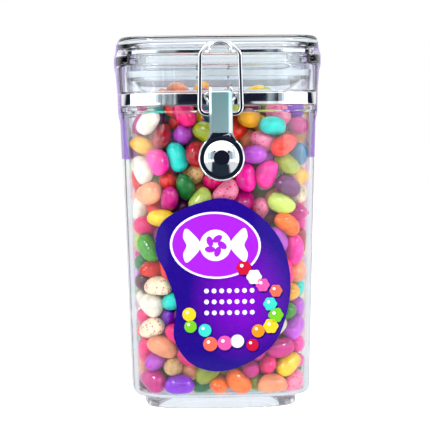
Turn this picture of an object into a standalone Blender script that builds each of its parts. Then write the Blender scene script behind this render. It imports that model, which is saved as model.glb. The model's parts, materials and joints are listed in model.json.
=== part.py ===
"""Clear rounded-square storage jar with a clamped lid, filled with jelly beans.

Metres, +Z up. The origin is on the table under the middle of the jar, and the clamp
faces -Y. Every level of the jar is the same rounded square, grown or shrunk, so most
pieces are one profile of (half width, height) points carried around that outline.
"""

import math

import bmesh
import bpy
from mathutils import Matrix, Vector

# ---------------------------------------------------------------- outline of the jar
CORNER_CENTRE = 0.0271  # from the axis to a corner arc's centre, in X and Y, neck and lid
FOOT_CORNER = 0.0180  # radius of the corner arcs under the rounded bottom edge
SIDE_BULGE = 0.0012  # how far the middle of a side stands out past its ends
SIDE_STEPS = 4
CORNER_STEPS = 5

# ---------------------------------------------------------------- clear jar body
FOOT_HALF = 0.0373
FOOT_WALL = 0.0024
FOOT_HEIGHT = 0.0062
FLOOR_TOP = 0.0086
BASE_HALF = 0.0437  # outer half width just above the rounded bottom edge
BASE_ROUND_TOP = 0.0098
BASE_ROUND = (0.0036, 0.0034)  # of the bottom edge, across and upwards
FLOOR_ROUND = (0.0026, 0.0026)  # of the edge inside
SHOULDER_HALF = 0.0475  # outer half width just under the ledge
LEDGE_HALF = 0.0483
LEDGE_BOTTOM = 0.1412
LEDGE_TOP = 0.1442
NECK_HALF = 0.0471  # seat of the steel band
RIM_BOTTOM = 0.1510
RIM_HALF = 0.0490
RIM_TOP = 0.1637
WALL = 0.0024
MOUTH_HALF = 0.0452  # inside the neck

# ---------------------------------------------------------------- lid
JAR_TOP = 0.1775
LID_HALF = 0.0490
LID_EDGE_RADIUS = 0.0023
GROOVE_HALF = 0.0449
GROOVE_BOTTOM = 0.1684
GROOVE_TOP = 0.1716
FLANGE_HALF = 0.0501
FLANGE_BOTTOM = 0.1641
PLUG_HALF = 0.0434
PLUG_INNER = 0.0410
PLUG_BOTTOM = 0.1566
CEILING = 0.1744
GASKET_BOTTOM = 0.1582
GASKET_TOP = 0.1612
GASKET_HALF = 0.0449

# ---------------------------------------------------------------- metalwork
BAND_BOTTOM = 0.1446
BAND_TOP = 0.1506
BAND_INNER = 0.0475
BAND_OUTER = 0.0483
RING_HALF = 0.0463
RING_HEIGHT = 0.1700
RING_WIRE = 0.0009  # wire radii
ARCH_HALF = 0.00485
ARCH_TURN = 0.0066  # where the ring's wire turns out of its groove
ARCH_FOOT = (-0.0543, 0.1694)  # Y and Z
ARCH_LEAN = 0.0007
ARCH_RISE = 0.0044
PIVOT = (0.0, -0.0534, 0.1502)  # the lever turns here
PIVOT_WIRE = 0.00065
LINK_PIN = (0.0, -0.0522, 0.1404)  # the link turns here, on the lever
LINK_WIRE = 0.00105
LINK_BOW = (-0.0516, 0.1733)  # Y and Z of the top of the link
LINK_HALF_TOP = 0.0092
LINK_HALF_BOTTOM = 0.0098
LINK_BOW_HALF = 0.0056
LINK_SHOULDER = 0.1687
PIN_END = 0.0036  # half of the gap between the link's two ends
HINGE_RADIUS = 0.0022
HINGE_BORE = 0.0013
HINGE_HEIGHT = 0.1476
TAIL_HALF = 0.0082  # the ring's two tails run down to the hinge this far apart

LEVER_FRONT = -0.0570
LEVER_SHEET = 0.0009
SPOON_DOME = 0.0018  # the spoon's middle stands this far in front of the sheet's middle
CLASP_REACH = SPOON_DOME - LEVER_FRONT - LEVER_SHEET / 2  # the hinge reaches as far back
STEM_HALF = 0.00535
STEM_TOP = 0.1526
FLARE_TOP = 0.1348
SPOON_CENTRE = 0.1198
SPOON_RADIUS = 0.0107
EAR_ROUND = 0.0043
PIN_EAR_ROUND = 0.0023
RUNNING_GAP = 0.0004  # round a pin in its hole

# ---------------------------------------------------------------- contents, films
GAP = 0.0003  # between a piece and the one it rests on
HEAP_HEIGHT = 0.1524
HEAP_RELIEF = 0.0026
HEAP_EDGE = 0.0024  # the top stands this far over its own edge
HEAP_EDGE_RELIEF = 0.0016
SIDE_RELIEF = 0.0007
BEAN_LENGTH = 0.0145
BEAN_WIDTH = 0.0100
FILM = 0.0003
SEAL_HALF = 0.0110
SEAL_TOP = 0.1748
SEAL_BOTTOM = 0.1195
LABEL_RINGS = (0.36, 0.66, 0.85, 1.0)  # closer where the film goes round the corner
LABEL_STEPS = 4  # between two points of the outline
# A kidney shape, as (x, z) from the lower left hollow round to the right.
LABEL_OUTLINE = (
    (-0.0022, 0.1007), (0.0130, 0.0960), (0.0260, 0.0835), (0.0318, 0.0680),
    (0.0316, 0.0500), (0.0235, 0.0305), (0.0030, 0.0192), (-0.0140, 0.0218),
    (-0.0230, 0.0345), (-0.0218, 0.0503), (-0.0262, 0.0645), (-0.0312, 0.0773),
    (-0.0262, 0.0915),
)

CLEAR = (0.93, 0.97, 0.98)
STEEL = (0.78, 0.79, 0.80)


def clear_scene():
    for item in list(bpy.data.objects):
        bpy.data.objects.remove(item, do_unlink=True)


def new_collection(name):
    collection = bpy.data.collections.new(name)
    bpy.context.scene.collection.children.link(collection)
    return collection


def finish(item, colour, roughness, metallic=0.0, alpha=1.0):
    """Give an object its own Principled material."""
    material = bpy.data.materials.new(item.name)
    material.use_nodes = True
    shader = material.node_tree.nodes["Principled BSDF"]
    shader.inputs["Base Color"].default_value = (*colour, 1.0)
    shader.inputs["Roughness"].default_value = roughness
    shader.inputs["Metallic"].default_value = metallic
    shader.inputs["Alpha"].default_value = alpha
    item.data.materials.clear()
    item.data.materials.append(material)
    return item


def add_mesh(name, shape, collection, smooth_angle=35.0):
    """Turn a bmesh into an object, faces outwards, smooth but for its sharp edges."""
    bmesh.ops.recalc_face_normals(shape, faces=shape.faces)
    mesh = bpy.data.meshes.new(name)
    shape.to_mesh(mesh)
    shape.free()
    mesh.shade_smooth()
    mesh.set_sharp_from_angle(angle=math.radians(smooth_angle))
    item = bpy.data.objects.new(name, mesh)
    collection.objects.link(item)
    return item


def wall_half(height):
    """Outer half width of the jar's wall, which draws in towards the base."""
    share = (height - BASE_ROUND_TOP) / (LEDGE_BOTTOM - BASE_ROUND_TOP)
    return BASE_HALF + (SHOULDER_HALF - BASE_HALF) * share


def corner_centre(half, height):
    """Corner centres draw in with the wall and the foot, so the corners stay round."""
    level = min(max(height, BASE_ROUND_TOP), LEDGE_BOTTOM)
    centre = CORNER_CENTRE - (SHOULDER_HALF - wall_half(level))
    if height < BASE_ROUND_TOP:
        centre = min(centre, half - SIDE_BULGE - FOOT_CORNER)
    return centre


def outline(half, height):
    """The rounded square at one level, anticlockwise from the +X side's lower end."""
    centre = corner_centre(half, height)
    radius = half - centre - SIDE_BULGE
    points = []
    for quarter in range(4):
        spot = Matrix.Rotation(quarter * math.pi / 2, 3, "Z")
        for step in range(SIDE_STEPS):
            along = 2 * step / SIDE_STEPS - 1
            side = Vector((half - SIDE_BULGE * along**2, centre * along, height))
            points.append(spot @ side)
        for step in range(CORNER_STEPS):
            angle = step / CORNER_STEPS * math.pi / 2
            x = centre + radius * math.cos(angle)
            y = centre + radius * math.sin(angle)
            points.append(spot @ Vector((x, y, height)))
    return points


def loft(name, levels, collection, closed=False):
    """Join rings of points; end faces shut it, or the last ring meets the first."""
    shape = bmesh.new()
    rings = [[shape.verts.new(point) for point in level] for level in levels]
    pairs = list(zip(rings, rings[1:]))
    if closed:
        pairs.append((rings[-1], rings[0]))
    else:
        shape.faces.new(rings[0])
        shape.faces.new(rings[-1])
    for lower, upper in pairs:
        for index in range(len(lower)):
            after = (index + 1) % len(lower)
            shape.faces.new((lower[index], lower[after], upper[after], upper[index]))
    return add_mesh(name, shape, collection)


def moulding(name, profile, collection, closed=False):
    """Carry a profile of (half width, height) points around the jar's outline."""
    return loft(name, [outline(half, height) for half, height in profile], collection, closed)


def arc(centre, radii, start, end, steps):
    """Points of an elliptic arc, from angle start to end in degrees."""
    points = []
    for step in range(steps + 1):
        angle = math.radians(start + (end - start) * step / steps)
        x = centre[0] + radii[0] * math.cos(angle)
        y = centre[1] + radii[1] * math.sin(angle)
        points.append((x, y))
    return points


def bent_path(corners, bends, steps=4):
    """A wire's centre line: straight runs, with each corner rounded by its bend."""
    corners = [Vector(corner) for corner in corners]
    path = [corners[0]]
    for index in range(1, len(corners) - 1):
        corner = corners[index]
        bend = bends[index - 1]
        start = corner + (corners[index - 1] - corner).normalized() * bend
        end = corner + (corners[index + 1] - corner).normalized() * bend
        for step in range(steps + 1):
            t = step / steps
            path.append(start.lerp(corner, t).lerp(corner.lerp(end, t), t))
    path.append(corners[-1])
    return path


def mirrored(half_path):
    """Continue a path that ends at x = 0 with its own mirror image."""
    other = [Vector((-p.x, p.y, p.z)) for p in reversed(half_path)]
    skip = 1 if abs(half_path[-1].x) < 1e-6 else 0
    return half_path + other[skip:]


def wire(name, path, radius, collection, origin=(0.0, 0.0, 0.0)):
    """A round wire along a path, as a curve with closed ends."""
    curve = bpy.data.curves.new(name, "CURVE")
    curve.dimensions = "3D"
    curve.bevel_depth = radius
    curve.bevel_resolution = 2
    curve.use_fill_caps = True
    spline = curve.splines.new("POLY")
    spline.points.add(len(path) - 1)
    for point, place in zip(spline.points, path):
        point.co = (*(Vector(place) - Vector(origin)), 1.0)
    item = bpy.data.objects.new(name, curve)
    item.location = origin
    collection.objects.link(item)
    return item


def plate(name, outlines, thickness, collection):
    """A flat curve in X and Y, later outlines cut holes; centred on its thickness."""
    curve = bpy.data.curves.new(name, "CURVE")
    curve.dimensions = "2D"
    curve.fill_mode = "BOTH"
    curve.extrude = thickness / 2
    for points in outlines:
        spline = curve.splines.new("POLY")
        spline.points.add(len(points) - 1)
        for point, place in zip(spline.points, points):
            point.co = (place[0], place[1], 0.0, 1.0)
        spline.use_cyclic_u = True
    item = bpy.data.objects.new(name, curve)
    collection.objects.link(item)
    return item


def as_mesh(item, collection):
    """Replace a curve by the mesh it makes, with its caps welded."""
    bpy.context.view_layer.update()
    evaluated = item.evaluated_get(bpy.context.evaluated_depsgraph_get())
    mesh = bpy.data.meshes.new_from_object(evaluated)
    shape = bmesh.new()
    shape.from_mesh(mesh)
    bmesh.ops.remove_doubles(shape, verts=shape.verts, dist=1e-6)
    shape.to_mesh(mesh)
    shape.free()
    name = item.name
    place = item.matrix_world.copy()
    bpy.data.objects.remove(item, do_unlink=True)
    solid = bpy.data.objects.new(name, mesh)
    solid.matrix_world = place
    collection.objects.link(solid)
    return solid


def box(name, low, high, collection):
    shape = bmesh.new()
    bmesh.ops.create_cube(shape, size=1.0)
    size = Vector(high) - Vector(low)
    middle = (Vector(high) + Vector(low)) / 2
    bmesh.ops.scale(shape, vec=size, verts=shape.verts)
    bmesh.ops.translate(shape, vec=middle, verts=shape.verts)
    return add_mesh(name, shape, collection)


def cylinder_x(name, radius, length, centre, collection):
    """A round bar along X."""
    shape = bmesh.new()
    bmesh.ops.create_cone(
        shape, cap_ends=True, segments=16, radius1=radius, radius2=radius, depth=length
    )
    turn = Matrix.Translation(centre) @ Matrix.Rotation(math.pi / 2, 4, "Y")
    bmesh.ops.transform(shape, matrix=turn, verts=shape.verts)
    return add_mesh(name, shape, collection)


def combine(item, tool, operation):
    """Join or cut an object with a tool that stays in the cutters' collection."""
    tool.hide_render = True
    tool.display_type = "WIRE"
    change = item.modifiers.new(tool.name, "BOOLEAN")
    change.object = tool
    change.operation = operation
    change.solver = "EXACT"


def make_jar_body(parts):
    """Clear shell: hollow foot, rounded bottom edge, drafted wall, ledge, neck and rim."""
    across, upwards = FLOOR_ROUND
    outer_round = arc((BASE_HALF - BASE_ROUND[0], BASE_ROUND_TOP), BASE_ROUND, -80, 0, 4)
    inner = (BASE_HALF - WALL - across, FLOOR_TOP + upwards)
    inner_round = arc(inner, FLOOR_ROUND, 0, -90, 3)
    foot_inner = FOOT_HALF - FOOT_WALL
    profile = [
        (foot_inner - 0.0004, FOOT_HEIGHT),
        (foot_inner, 0.0),
        (FOOT_HALF - 0.0004, 0.0),
        (FOOT_HALF, 0.0006),
        (FOOT_HALF, FOOT_HEIGHT),
        *outer_round,
        (SHOULDER_HALF, LEDGE_BOTTOM),
        (LEDGE_HALF, LEDGE_BOTTOM + 0.0009),
        (LEDGE_HALF, LEDGE_TOP - 0.0003),
        (NECK_HALF, LEDGE_TOP),
        (NECK_HALF, RIM_BOTTOM),
        (LEDGE_HALF, RIM_BOTTOM + 0.0003),
        (RIM_HALF, RIM_TOP - 0.0008),
        (RIM_HALF - 0.0007, RIM_TOP),
        (MOUTH_HALF + 0.0006, RIM_TOP),
        (MOUTH_HALF, RIM_TOP - 0.0008),
        (MOUTH_HALF, LEDGE_TOP),
        (SHOULDER_HALF - WALL, LEDGE_BOTTOM - 0.0010),
        *inner_round,
    ]
    return finish(moulding("jar_body", profile, parts), CLEAR, 0.03, alpha=0.25)


def make_lid(parts):
    """Clear lid: raised top with a wire groove, flange, and a plug hollow from below."""
    edge = arc(
        (LID_HALF - LID_EDGE_RADIUS, JAR_TOP - LID_EDGE_RADIUS),
        (LID_EDGE_RADIUS, LID_EDGE_RADIUS), 90, 0, 3,
    )
    profile = [
        *edge,
        (LID_HALF, GROOVE_TOP + 0.0004),
        (LID_HALF - 0.0004, GROOVE_TOP),
        (GROOVE_HALF, GROOVE_TOP),
        (GROOVE_HALF, GROOVE_BOTTOM),
        (FLANGE_HALF - 0.0006, GROOVE_BOTTOM),
        (FLANGE_HALF, GROOVE_BOTTOM - 0.0006),
        (FLANGE_HALF, FLANGE_BOTTOM + 0.0005),
        (FLANGE_HALF - 0.0005, FLANGE_BOTTOM),
        (PLUG_HALF, FLANGE_BOTTOM),
        (PLUG_HALF, PLUG_BOTTOM + 0.0004),
        (PLUG_HALF - 0.0004, PLUG_BOTTOM),
        (PLUG_INNER, PLUG_BOTTOM),
        (PLUG_INNER - 0.0004, CEILING - 0.0020),
        (PLUG_INNER - 0.0022, CEILING),
    ]
    return finish(moulding("lid", profile, parts), CLEAR, 0.03, alpha=0.25)


def make_gasket(parts):
    """Soft clear ring round the lid's plug."""
    inner = PLUG_HALF + GAP
    profile = [
        (inner, GASKET_BOTTOM),
        (GASKET_HALF, GASKET_BOTTOM + 0.0004),
        (GASKET_HALF, GASKET_TOP - 0.0004),
        (inner, GASKET_TOP),
    ]
    ring = moulding("gasket", profile, parts, closed=True)
    return finish(ring, (0.86, 0.90, 0.90), 0.4, alpha=0.5)


def make_neck_band(parts):
    """Polished steel strip round the neck, which carries the clamp and the hinge."""
    profile = [
        (BAND_INNER, BAND_BOTTOM),
        (BAND_OUTER, BAND_BOTTOM),
        (BAND_OUTER, BAND_TOP),
        (BAND_INNER, BAND_TOP),
    ]
    band = moulding("neck_band", profile, parts, closed=True)
    return finish(band, STEEL, 0.08, metallic=1.0)


def make_lid_ring(parts):
    """One wire: hinge end, tail, round the lid's groove, and the arch in front."""
    hinge = CLASP_REACH - HINGE_RADIUS
    tail = bent_path(
        [
            (-0.0010, hinge, HINGE_HEIGHT),
            (-TAIL_HALF, hinge, HINGE_HEIGHT),
            (-TAIL_HALF, hinge, RING_HEIGHT),
            (-TAIL_HALF, RING_HALF, RING_HEIGHT),
            (-CORNER_CENTRE / 2, RING_HALF, RING_HEIGHT),
        ],
        [0.0015, 0.0030, 0.0028],
    )
    groove = [p for p in outline(RING_HALF, RING_HEIGHT) if p.x < -CORNER_CENTRE / 2]
    foot_y, foot_z = ARCH_FOOT
    foot = bent_path(
        [
            groove[-1],
            (-ARCH_TURN, -RING_HALF, RING_HEIGHT),
            (-ARCH_HALF, foot_y, foot_z),
            (-ARCH_HALF, foot_y, foot_z + 0.0012),
        ],
        [0.0016, 0.0010],
    )
    arch = []
    for x, rise in arc((0.0, 0.0), (-ARCH_HALF, ARCH_RISE - 0.0012), 10, 90, 6):
        lean = ARCH_LEAN * rise / ARCH_RISE
        arch.append(Vector((x, foot_y - lean, foot_z + 0.0012 + rise)))
    path = mirrored(tail[:-1] + groove[:-1] + foot + arch)
    return finish(wire("lid_ring", path, RING_WIRE, parts), STEEL, 0.1, metallic=1.0)


def make_link(parts):
    """Wire loop from the lever's sides up to its bow behind the arch."""
    bow_y, bow_z = LINK_BOW
    pin = Vector(LINK_PIN)

    def on_link(x, z):
        share = (z - pin.z) / (bow_z - pin.z)
        return (x, pin.y + (bow_y - pin.y) * share, z)

    half_path = bent_path(
        [
            on_link(-PIN_END, pin.z),
            on_link(-LINK_HALF_BOTTOM, pin.z),
            on_link(-LINK_HALF_TOP, LINK_SHOULDER),
            on_link(-LINK_BOW_HALF, bow_z - 0.0002),
            on_link(0.0, bow_z),
        ],
        [0.0036, 0.0016, 0.0016],
    )
    link = wire("link", mirrored(half_path), LINK_WIRE, parts, origin=pin)
    return finish(link, STEEL, 0.1, metallic=1.0)


def make_pivot_wire(parts, cutters):
    """Bent wire that carries the lever, on a small tab welded to the band."""
    pivot = Vector(PIVOT)
    half_path = bent_path(
        [
            (-0.0052, -BAND_OUTER - 0.0006, 0.1454),
            (-0.0072, -0.0512, 0.1486),
            (-0.0070, pivot.y, pivot.z),
            (0.0, pivot.y, pivot.z),
        ],
        [0.0010, 0.0012],
    )
    carrier = as_mesh(wire("pivot_wire", mirrored(half_path), PIVOT_WIRE, parts), parts)
    tab = box(
        "pivot_tab",
        (-0.0064, -BAND_OUTER - 0.0011, 0.1447),
        (0.0064, -BAND_OUTER - GAP, 0.1462),
        cutters,
    )
    combine(carrier, tab, "UNION")
    return finish(carrier, STEEL, 0.15, metallic=1.0)


def make_hinge(parts, cutters):
    """Barrel behind the neck in which the ring's two ends turn, on its plate."""
    barrel_y = CLASP_REACH - HINGE_RADIUS
    centre = (0.0, barrel_y, HINGE_HEIGHT)
    face = BAND_OUTER + GAP
    barrel = cylinder_x("hinge", HINGE_RADIUS, 0.0120, centre, parts)
    back = box("hinge_plate", (-0.0080, face, 0.1449), (0.0080, face + 0.0008, 0.1503), cutters)
    web = box("hinge_web", (-0.0060, face + 0.0004, 0.1468), (0.0060, barrel_y, 0.1484), cutters)
    bore = cylinder_x("hinge_bore", HINGE_BORE, 0.0300, centre, cutters)
    combine(barrel, web, "UNION")
    combine(barrel, back, "UNION")
    combine(barrel, bore, "DIFFERENCE")
    return finish(barrel, STEEL, 0.15, metallic=1.0)


def lever_face_outline():
    """Front of the lever in X and Z: stem, flares, and a hollow that fits the spoon."""
    tangent = 46.0  # where the flare meets the spoon's edge, in degrees
    centre = (0.0, SPOON_CENTRE)
    radius = SPOON_RADIUS - 0.0012
    right = [
        (STEM_HALF, STEM_TOP),
        (STEM_HALF, FLARE_TOP),
        *arc((0.0, SPOON_CENTRE), (SPOON_RADIUS, SPOON_RADIUS), tangent + 6, tangent, 1),
    ]
    hollow = arc(centre, (radius, radius), tangent, 180 - tangent, 8)
    left = [(-x, z) for x, z in reversed(right)]
    return right + hollow + left


def ear_outline():
    """Side of the lever in Y and Z, wide round its two pivots."""
    _, pivot_y, pivot_z = PIVOT
    _, pin_y, pin_z = LINK_PIN
    front = LEVER_FRONT + LEVER_SHEET / 2
    top = arc((pivot_y, pivot_z), (EAR_ROUND - 0.0021, EAR_ROUND), 110, 0, 6)
    back = arc((pin_y, pin_z), (PIN_EAR_ROUND, PIN_EAR_ROUND), 20, -60, 4)
    return [(front, 0.1320), (front, STEM_TOP), *top, *back, (front + 0.0014, 0.1330)]


def circle(centre, radius):
    return arc(centre, (radius, radius), 0, 360 * 11 / 12, 11)


def make_spoon(cutters):
    """Round pressed end of the lever: rolled rim, dished ring, domed middle."""
    # (radius, distance in front of the sheet's middle), from the dome outwards
    front_face = [(0.0, SPOON_DOME), (0.0016, 0.0016), (0.0031, 0.0009), (0.0042, -0.0002)]
    front_face += [(0.0060, -0.0009), (0.0080, -0.0004), (0.0094, 0.0005), (0.0101, 0.0009)]
    rim = [(0.0106, 0.0006), (SPOON_RADIUS, -0.0002), (0.0104, -0.0008)]
    back_face = [(r, depth - LEVER_SHEET) for r, depth in reversed(front_face[1:-1])]
    profile = front_face + rim + back_face + [(0.0, 0.0008)]
    mesh = bpy.data.meshes.new("spoon")
    points = [(radius, 0.0, depth) for radius, depth in profile]
    mesh.from_pydata(points, [(i, i + 1) for i in range(len(points) - 1)], [])
    spoon = bpy.data.objects.new("spoon", mesh)
    spoon.location = (0.0, LEVER_FRONT + LEVER_SHEET / 2, SPOON_CENTRE)
    spoon.rotation_euler = (math.pi / 2, 0.0, 0.0)
    turning = spoon.modifiers.new("turning", "SCREW")
    turning.steps = 28
    turning.render_steps = 28
    turning.use_merge_vertices = True
    turning.merge_threshold = 0.00001
    cutters.objects.link(spoon)
    return spoon


def make_lever(parts, cutters):
    """Pressed steel lever: channel stem with two ears, and the round spoon."""
    face = plate("lever", [lever_face_outline()], LEVER_SHEET, parts)
    face.matrix_world = Matrix.Translation(
        (0.0, LEVER_FRONT + LEVER_SHEET / 2, 0.0)
    ) @ Matrix.Rotation(math.pi / 2, 4, "X")
    lever = as_mesh(face, parts)
    holes = [
        circle(PIVOT[1:], PIVOT_WIRE + RUNNING_GAP),
        circle(LINK_PIN[1:], LINK_WIRE + RUNNING_GAP),
    ]
    # X of the plate becomes Y and its Y becomes Z
    upright = Matrix(((0, 0, 1, 0), (1, 0, 0, 0), (0, 1, 0, 0), (0, 0, 0, 1)))
    for side, name in ((-1, "ear_left"), (1, "ear_right")):
        ear = plate(name, [ear_outline(), *holes], LEVER_SHEET, cutters)
        middle = side * (STEM_HALF - LEVER_SHEET / 2)
        ear.matrix_world = Matrix.Translation((middle, 0.0, 0.0)) @ upright
        combine(lever, as_mesh(ear, cutters), "UNION")
    combine(lever, make_spoon(cutters), "UNION")
    place = lever.matrix_world.copy()
    pivot = Matrix.Translation(PIVOT)
    lever.data.transform(pivot.inverted() @ place)
    lever.matrix_world = pivot
    return finish(lever, STEEL, 0.08, metallic=1.0)


def heap_relief(x, y):
    """Waves about as long and as wide as a bean."""
    along = math.sin(x * math.tau / BEAN_LENGTH + 1.1 + 2.0 * math.sin(y * 210.0))
    across = math.sin(y * math.tau / (1.3 * BEAN_WIDTH) + 0.4 + 1.5 * math.sin(x * 160.0))
    return along * across


def make_heap(parts):
    """All the beans as one solid that nearly fills the jar, with an uneven top."""
    floor = FLOOR_TOP + GAP
    lowest = floor + FLOOR_ROUND[1]
    highest = HEAP_HEIGHT - HEAP_EDGE
    side_levels = 11
    levels = [outline(BASE_HALF - WALL - FLOOR_ROUND[0], floor)]
    for level in range(side_levels):
        height = lowest + (highest - lowest) * level / (side_levels - 1)
        half = min(wall_half(height), SHOULDER_HALF) - WALL - GAP
        ring = outline(half, height)
        for index, point in enumerate(ring):
            dent = SIDE_RELIEF * (1 + math.sin(height * 430.0 + 2.6 * index))
            ring[index] = point - Vector((point.x, point.y, 0.0)).normalized() * dent
        levels.append(ring)
    edge = levels[-1]
    for point in edge:
        point.z += HEAP_EDGE_RELIEF * heap_relief(point.x, point.y)
    for inward in (0.95, 0.80, 0.62, 0.43, 0.22):
        ring = []
        for point in edge:
            x = point.x * inward
            y = point.y * inward
            rise = HEAP_RELIEF * heap_relief(x, y)
            ring.append(Vector((x, y, HEAP_HEIGHT + rise - 0.0006 * inward**4)))
        levels.append(ring)
    heap = loft("beans", levels, parts)
    return finish(heap, (0.85, 0.35, 0.35), 0.35)


def front_depth(x, height):
    """How far in front of the axis the jar's wall is at x."""
    half = wall_half(height)
    centre = corner_centre(half, height)
    radius = half - centre - SIDE_BULGE
    if abs(x) <= centre:
        return half - SIDE_BULGE * (x / centre) ** 2
    return centre + math.sqrt(radius**2 - (abs(x) - centre) ** 2)


def smooth_loop(points, steps):
    """A closed curve through the points."""
    curve = []
    count = len(points)
    for index in range(count):
        before, start, end, after = (
            Vector(points[(index + shift) % count]) for shift in (-1, 0, 1, 2)
        )
        for step in range(steps):
            t = step / steps
            bow = (2 * before - 5 * start + 4 * end - after) * t * t
            twist = (3 * start - before - 3 * end + after) * t**3
            curve.append((2 * start + (end - before) * t + bow + twist) / 2)
    return curve


def make_label(parts):
    """Kidney-shaped film that follows the jar's front."""
    edge = smooth_loop(LABEL_OUTLINE, LABEL_STEPS)
    middle = sum(edge, Vector((0.0, 0.0))) / len(edge)
    shape = bmesh.new()
    rings = []
    for share in LABEL_RINGS:
        ring = []
        for point in edge:
            x, z = middle.lerp(point, share)
            ring.append(shape.verts.new((x, -front_depth(x, z) - GAP, z)))
        rings.append(ring)
    hub_y = -front_depth(middle.x, middle.y) - GAP
    hub = shape.verts.new((middle.x, hub_y, middle.y))
    for index in range(len(edge)):
        after = (index + 1) % len(edge)
        shape.faces.new((hub, rings[0][index], rings[0][after]))
        for inner, outer in zip(rings, rings[1:]):
            shape.faces.new((inner[index], outer[index], outer[after], inner[after]))
    for face in shape.faces:
        face.normal_update()
        if face.normal.y > 0:
            face.normal_flip()
    mesh = bpy.data.meshes.new("label")
    shape.to_mesh(mesh)
    shape.free()
    label = bpy.data.objects.new("label", mesh)
    parts.objects.link(label)
    thickness = label.modifiers.new("thickness", "SOLIDIFY")
    thickness.thickness = FILM
    thickness.offset = 1.0
    return finish(label, (0.13, 0.03, 0.42), 0.3)


def make_seal(name, side, parts):
    """Thin strip over the lid's side, the flange and the neck, down onto the wall."""
    clear = GAP + FILM / 2
    line = [
        (LID_HALF, SEAL_TOP),
        (LID_HALF + 0.0002, GROOVE_TOP),
        (FLANGE_HALF, GROOVE_BOTTOM),
        (FLANGE_HALF, FLANGE_BOTTOM),
        (RIM_HALF + 0.0003, RIM_TOP - 0.0030),
        (LEDGE_HALF + 0.0002, RIM_BOTTOM),
        (LEDGE_HALF, LEDGE_BOTTOM),
        (wall_half(0.1370), 0.1370),
        (wall_half(SEAL_BOTTOM), SEAL_BOTTOM),
    ]
    outer = [(half + clear + FILM / 2, z) for half, z in line]
    inner = [(half + clear - FILM / 2, z) for half, z in reversed(line)]
    strip = plate(name, [outer + inner], 2 * SEAL_HALF, parts)
    strip.matrix_world = Matrix.Rotation(math.pi / 2, 4, "X")
    strip = as_mesh(strip, parts)
    if side < 0:
        strip.matrix_world = Matrix.Rotation(math.pi, 4, "Z") @ strip.matrix_world
    return finish(strip, (0.42, 0.16, 0.72), 0.2, alpha=0.7)


def main():
    clear_scene()
    parts = new_collection("jelly_bean_jar")
    cutters = new_collection("cutters")
    make_jar_body(parts)
    make_lid(parts)
    make_gasket(parts)
    make_neck_band(parts)
    make_lid_ring(parts)
    make_pivot_wire(parts, cutters)
    make_hinge(parts, cutters)
    make_link(parts)
    make_lever(parts, cutters)
    make_heap(parts)
    make_label(parts)
    make_seal("seal_left", -1, parts)
    make_seal("seal_right", 1, parts)


main()
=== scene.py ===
# %% [markdown]
# # A clear clamp-lid jar of jelly beans
# The jar is a rounded square in plan that narrows a little towards its foot. Its lid is
# clear too, and is held down by a wire clamp in polished steel. This script dresses the
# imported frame: it rebuilds each hard piece with fine rounded edges, pours several hundred
# separate beans, prints the label and puts up the lights.

# %% Load the frame
import json
import math

import bmesh
import bpy
import numpy as np
from mathutils import Matrix, Vector

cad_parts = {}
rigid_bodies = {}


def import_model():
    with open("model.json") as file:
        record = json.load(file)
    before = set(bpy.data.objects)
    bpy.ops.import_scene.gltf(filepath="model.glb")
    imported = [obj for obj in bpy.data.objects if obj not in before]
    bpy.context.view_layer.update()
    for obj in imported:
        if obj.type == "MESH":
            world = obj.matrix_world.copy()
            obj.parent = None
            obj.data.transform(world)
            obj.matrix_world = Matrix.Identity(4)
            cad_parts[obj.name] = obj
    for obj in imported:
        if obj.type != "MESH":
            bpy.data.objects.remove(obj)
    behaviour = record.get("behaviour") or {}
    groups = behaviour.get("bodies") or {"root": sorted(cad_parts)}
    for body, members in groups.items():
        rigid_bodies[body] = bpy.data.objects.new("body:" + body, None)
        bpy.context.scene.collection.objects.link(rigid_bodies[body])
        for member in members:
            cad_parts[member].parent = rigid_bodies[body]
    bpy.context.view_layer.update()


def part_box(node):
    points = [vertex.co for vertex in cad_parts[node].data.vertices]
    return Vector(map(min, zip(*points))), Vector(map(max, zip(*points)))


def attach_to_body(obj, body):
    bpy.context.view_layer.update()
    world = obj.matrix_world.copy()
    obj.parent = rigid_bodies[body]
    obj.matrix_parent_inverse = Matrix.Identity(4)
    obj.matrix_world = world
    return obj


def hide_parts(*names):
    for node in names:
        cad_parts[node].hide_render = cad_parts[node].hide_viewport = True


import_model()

# %% [markdown]
# ## Sizes
# All levels of the jar share one plan: straight-ish sides that bulge by a millimetre, and
# corner arcs whose centres draw in with the wall. So one number, the half width at the
# middle of a side, is enough to draw the outline at any height. The heights come from the
# frame.

# %% Sizes that the pieces share
BODY = "jar"
CORNER_CENTRE = 0.0271
SIDE_BULGE = 0.0012
jar_low, jar_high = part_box("jar_body")
lid_low, lid_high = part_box("lid")
band_low, band_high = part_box("neck_band")
lever_low, lever_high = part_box("lever")
link_low, link_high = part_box("link")
hinge_low, hinge_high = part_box("hinge")
beans_low, beans_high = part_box("beans")
label_low, label_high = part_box("label")
RIM_TOP = jar_high[2]
JAR_TOP = lid_high[2]
FLANGE_HALF = lid_high[0]
BAND_HALF = band_high[0]
BAND_BOTTOM = band_low[2]
BAND_TOP = band_high[2]
FLOOR_TOP = beans_low[2] - 0.0020
BASE_HALF = 0.0437
BASE_ROUND_TOP = 0.0098
FOOT_CORNER = 0.0180
SHOULDER_HALF = 0.0475
LEDGE_BOTTOM = 0.1412
WALL = 0.0024
MOUTH_HALF = 0.0452
print("jar", [round(v, 4) for v in (RIM_TOP, JAR_TOP, FLANGE_HALF, BAND_HALF, FLOOR_TOP)])

# %% [markdown]
# ## Camera
# The camera stands at three quarters of the jar's height and looks down a little, from a
# hair to the left. A long lens from nearly a metre keeps the sides almost parallel.

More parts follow.
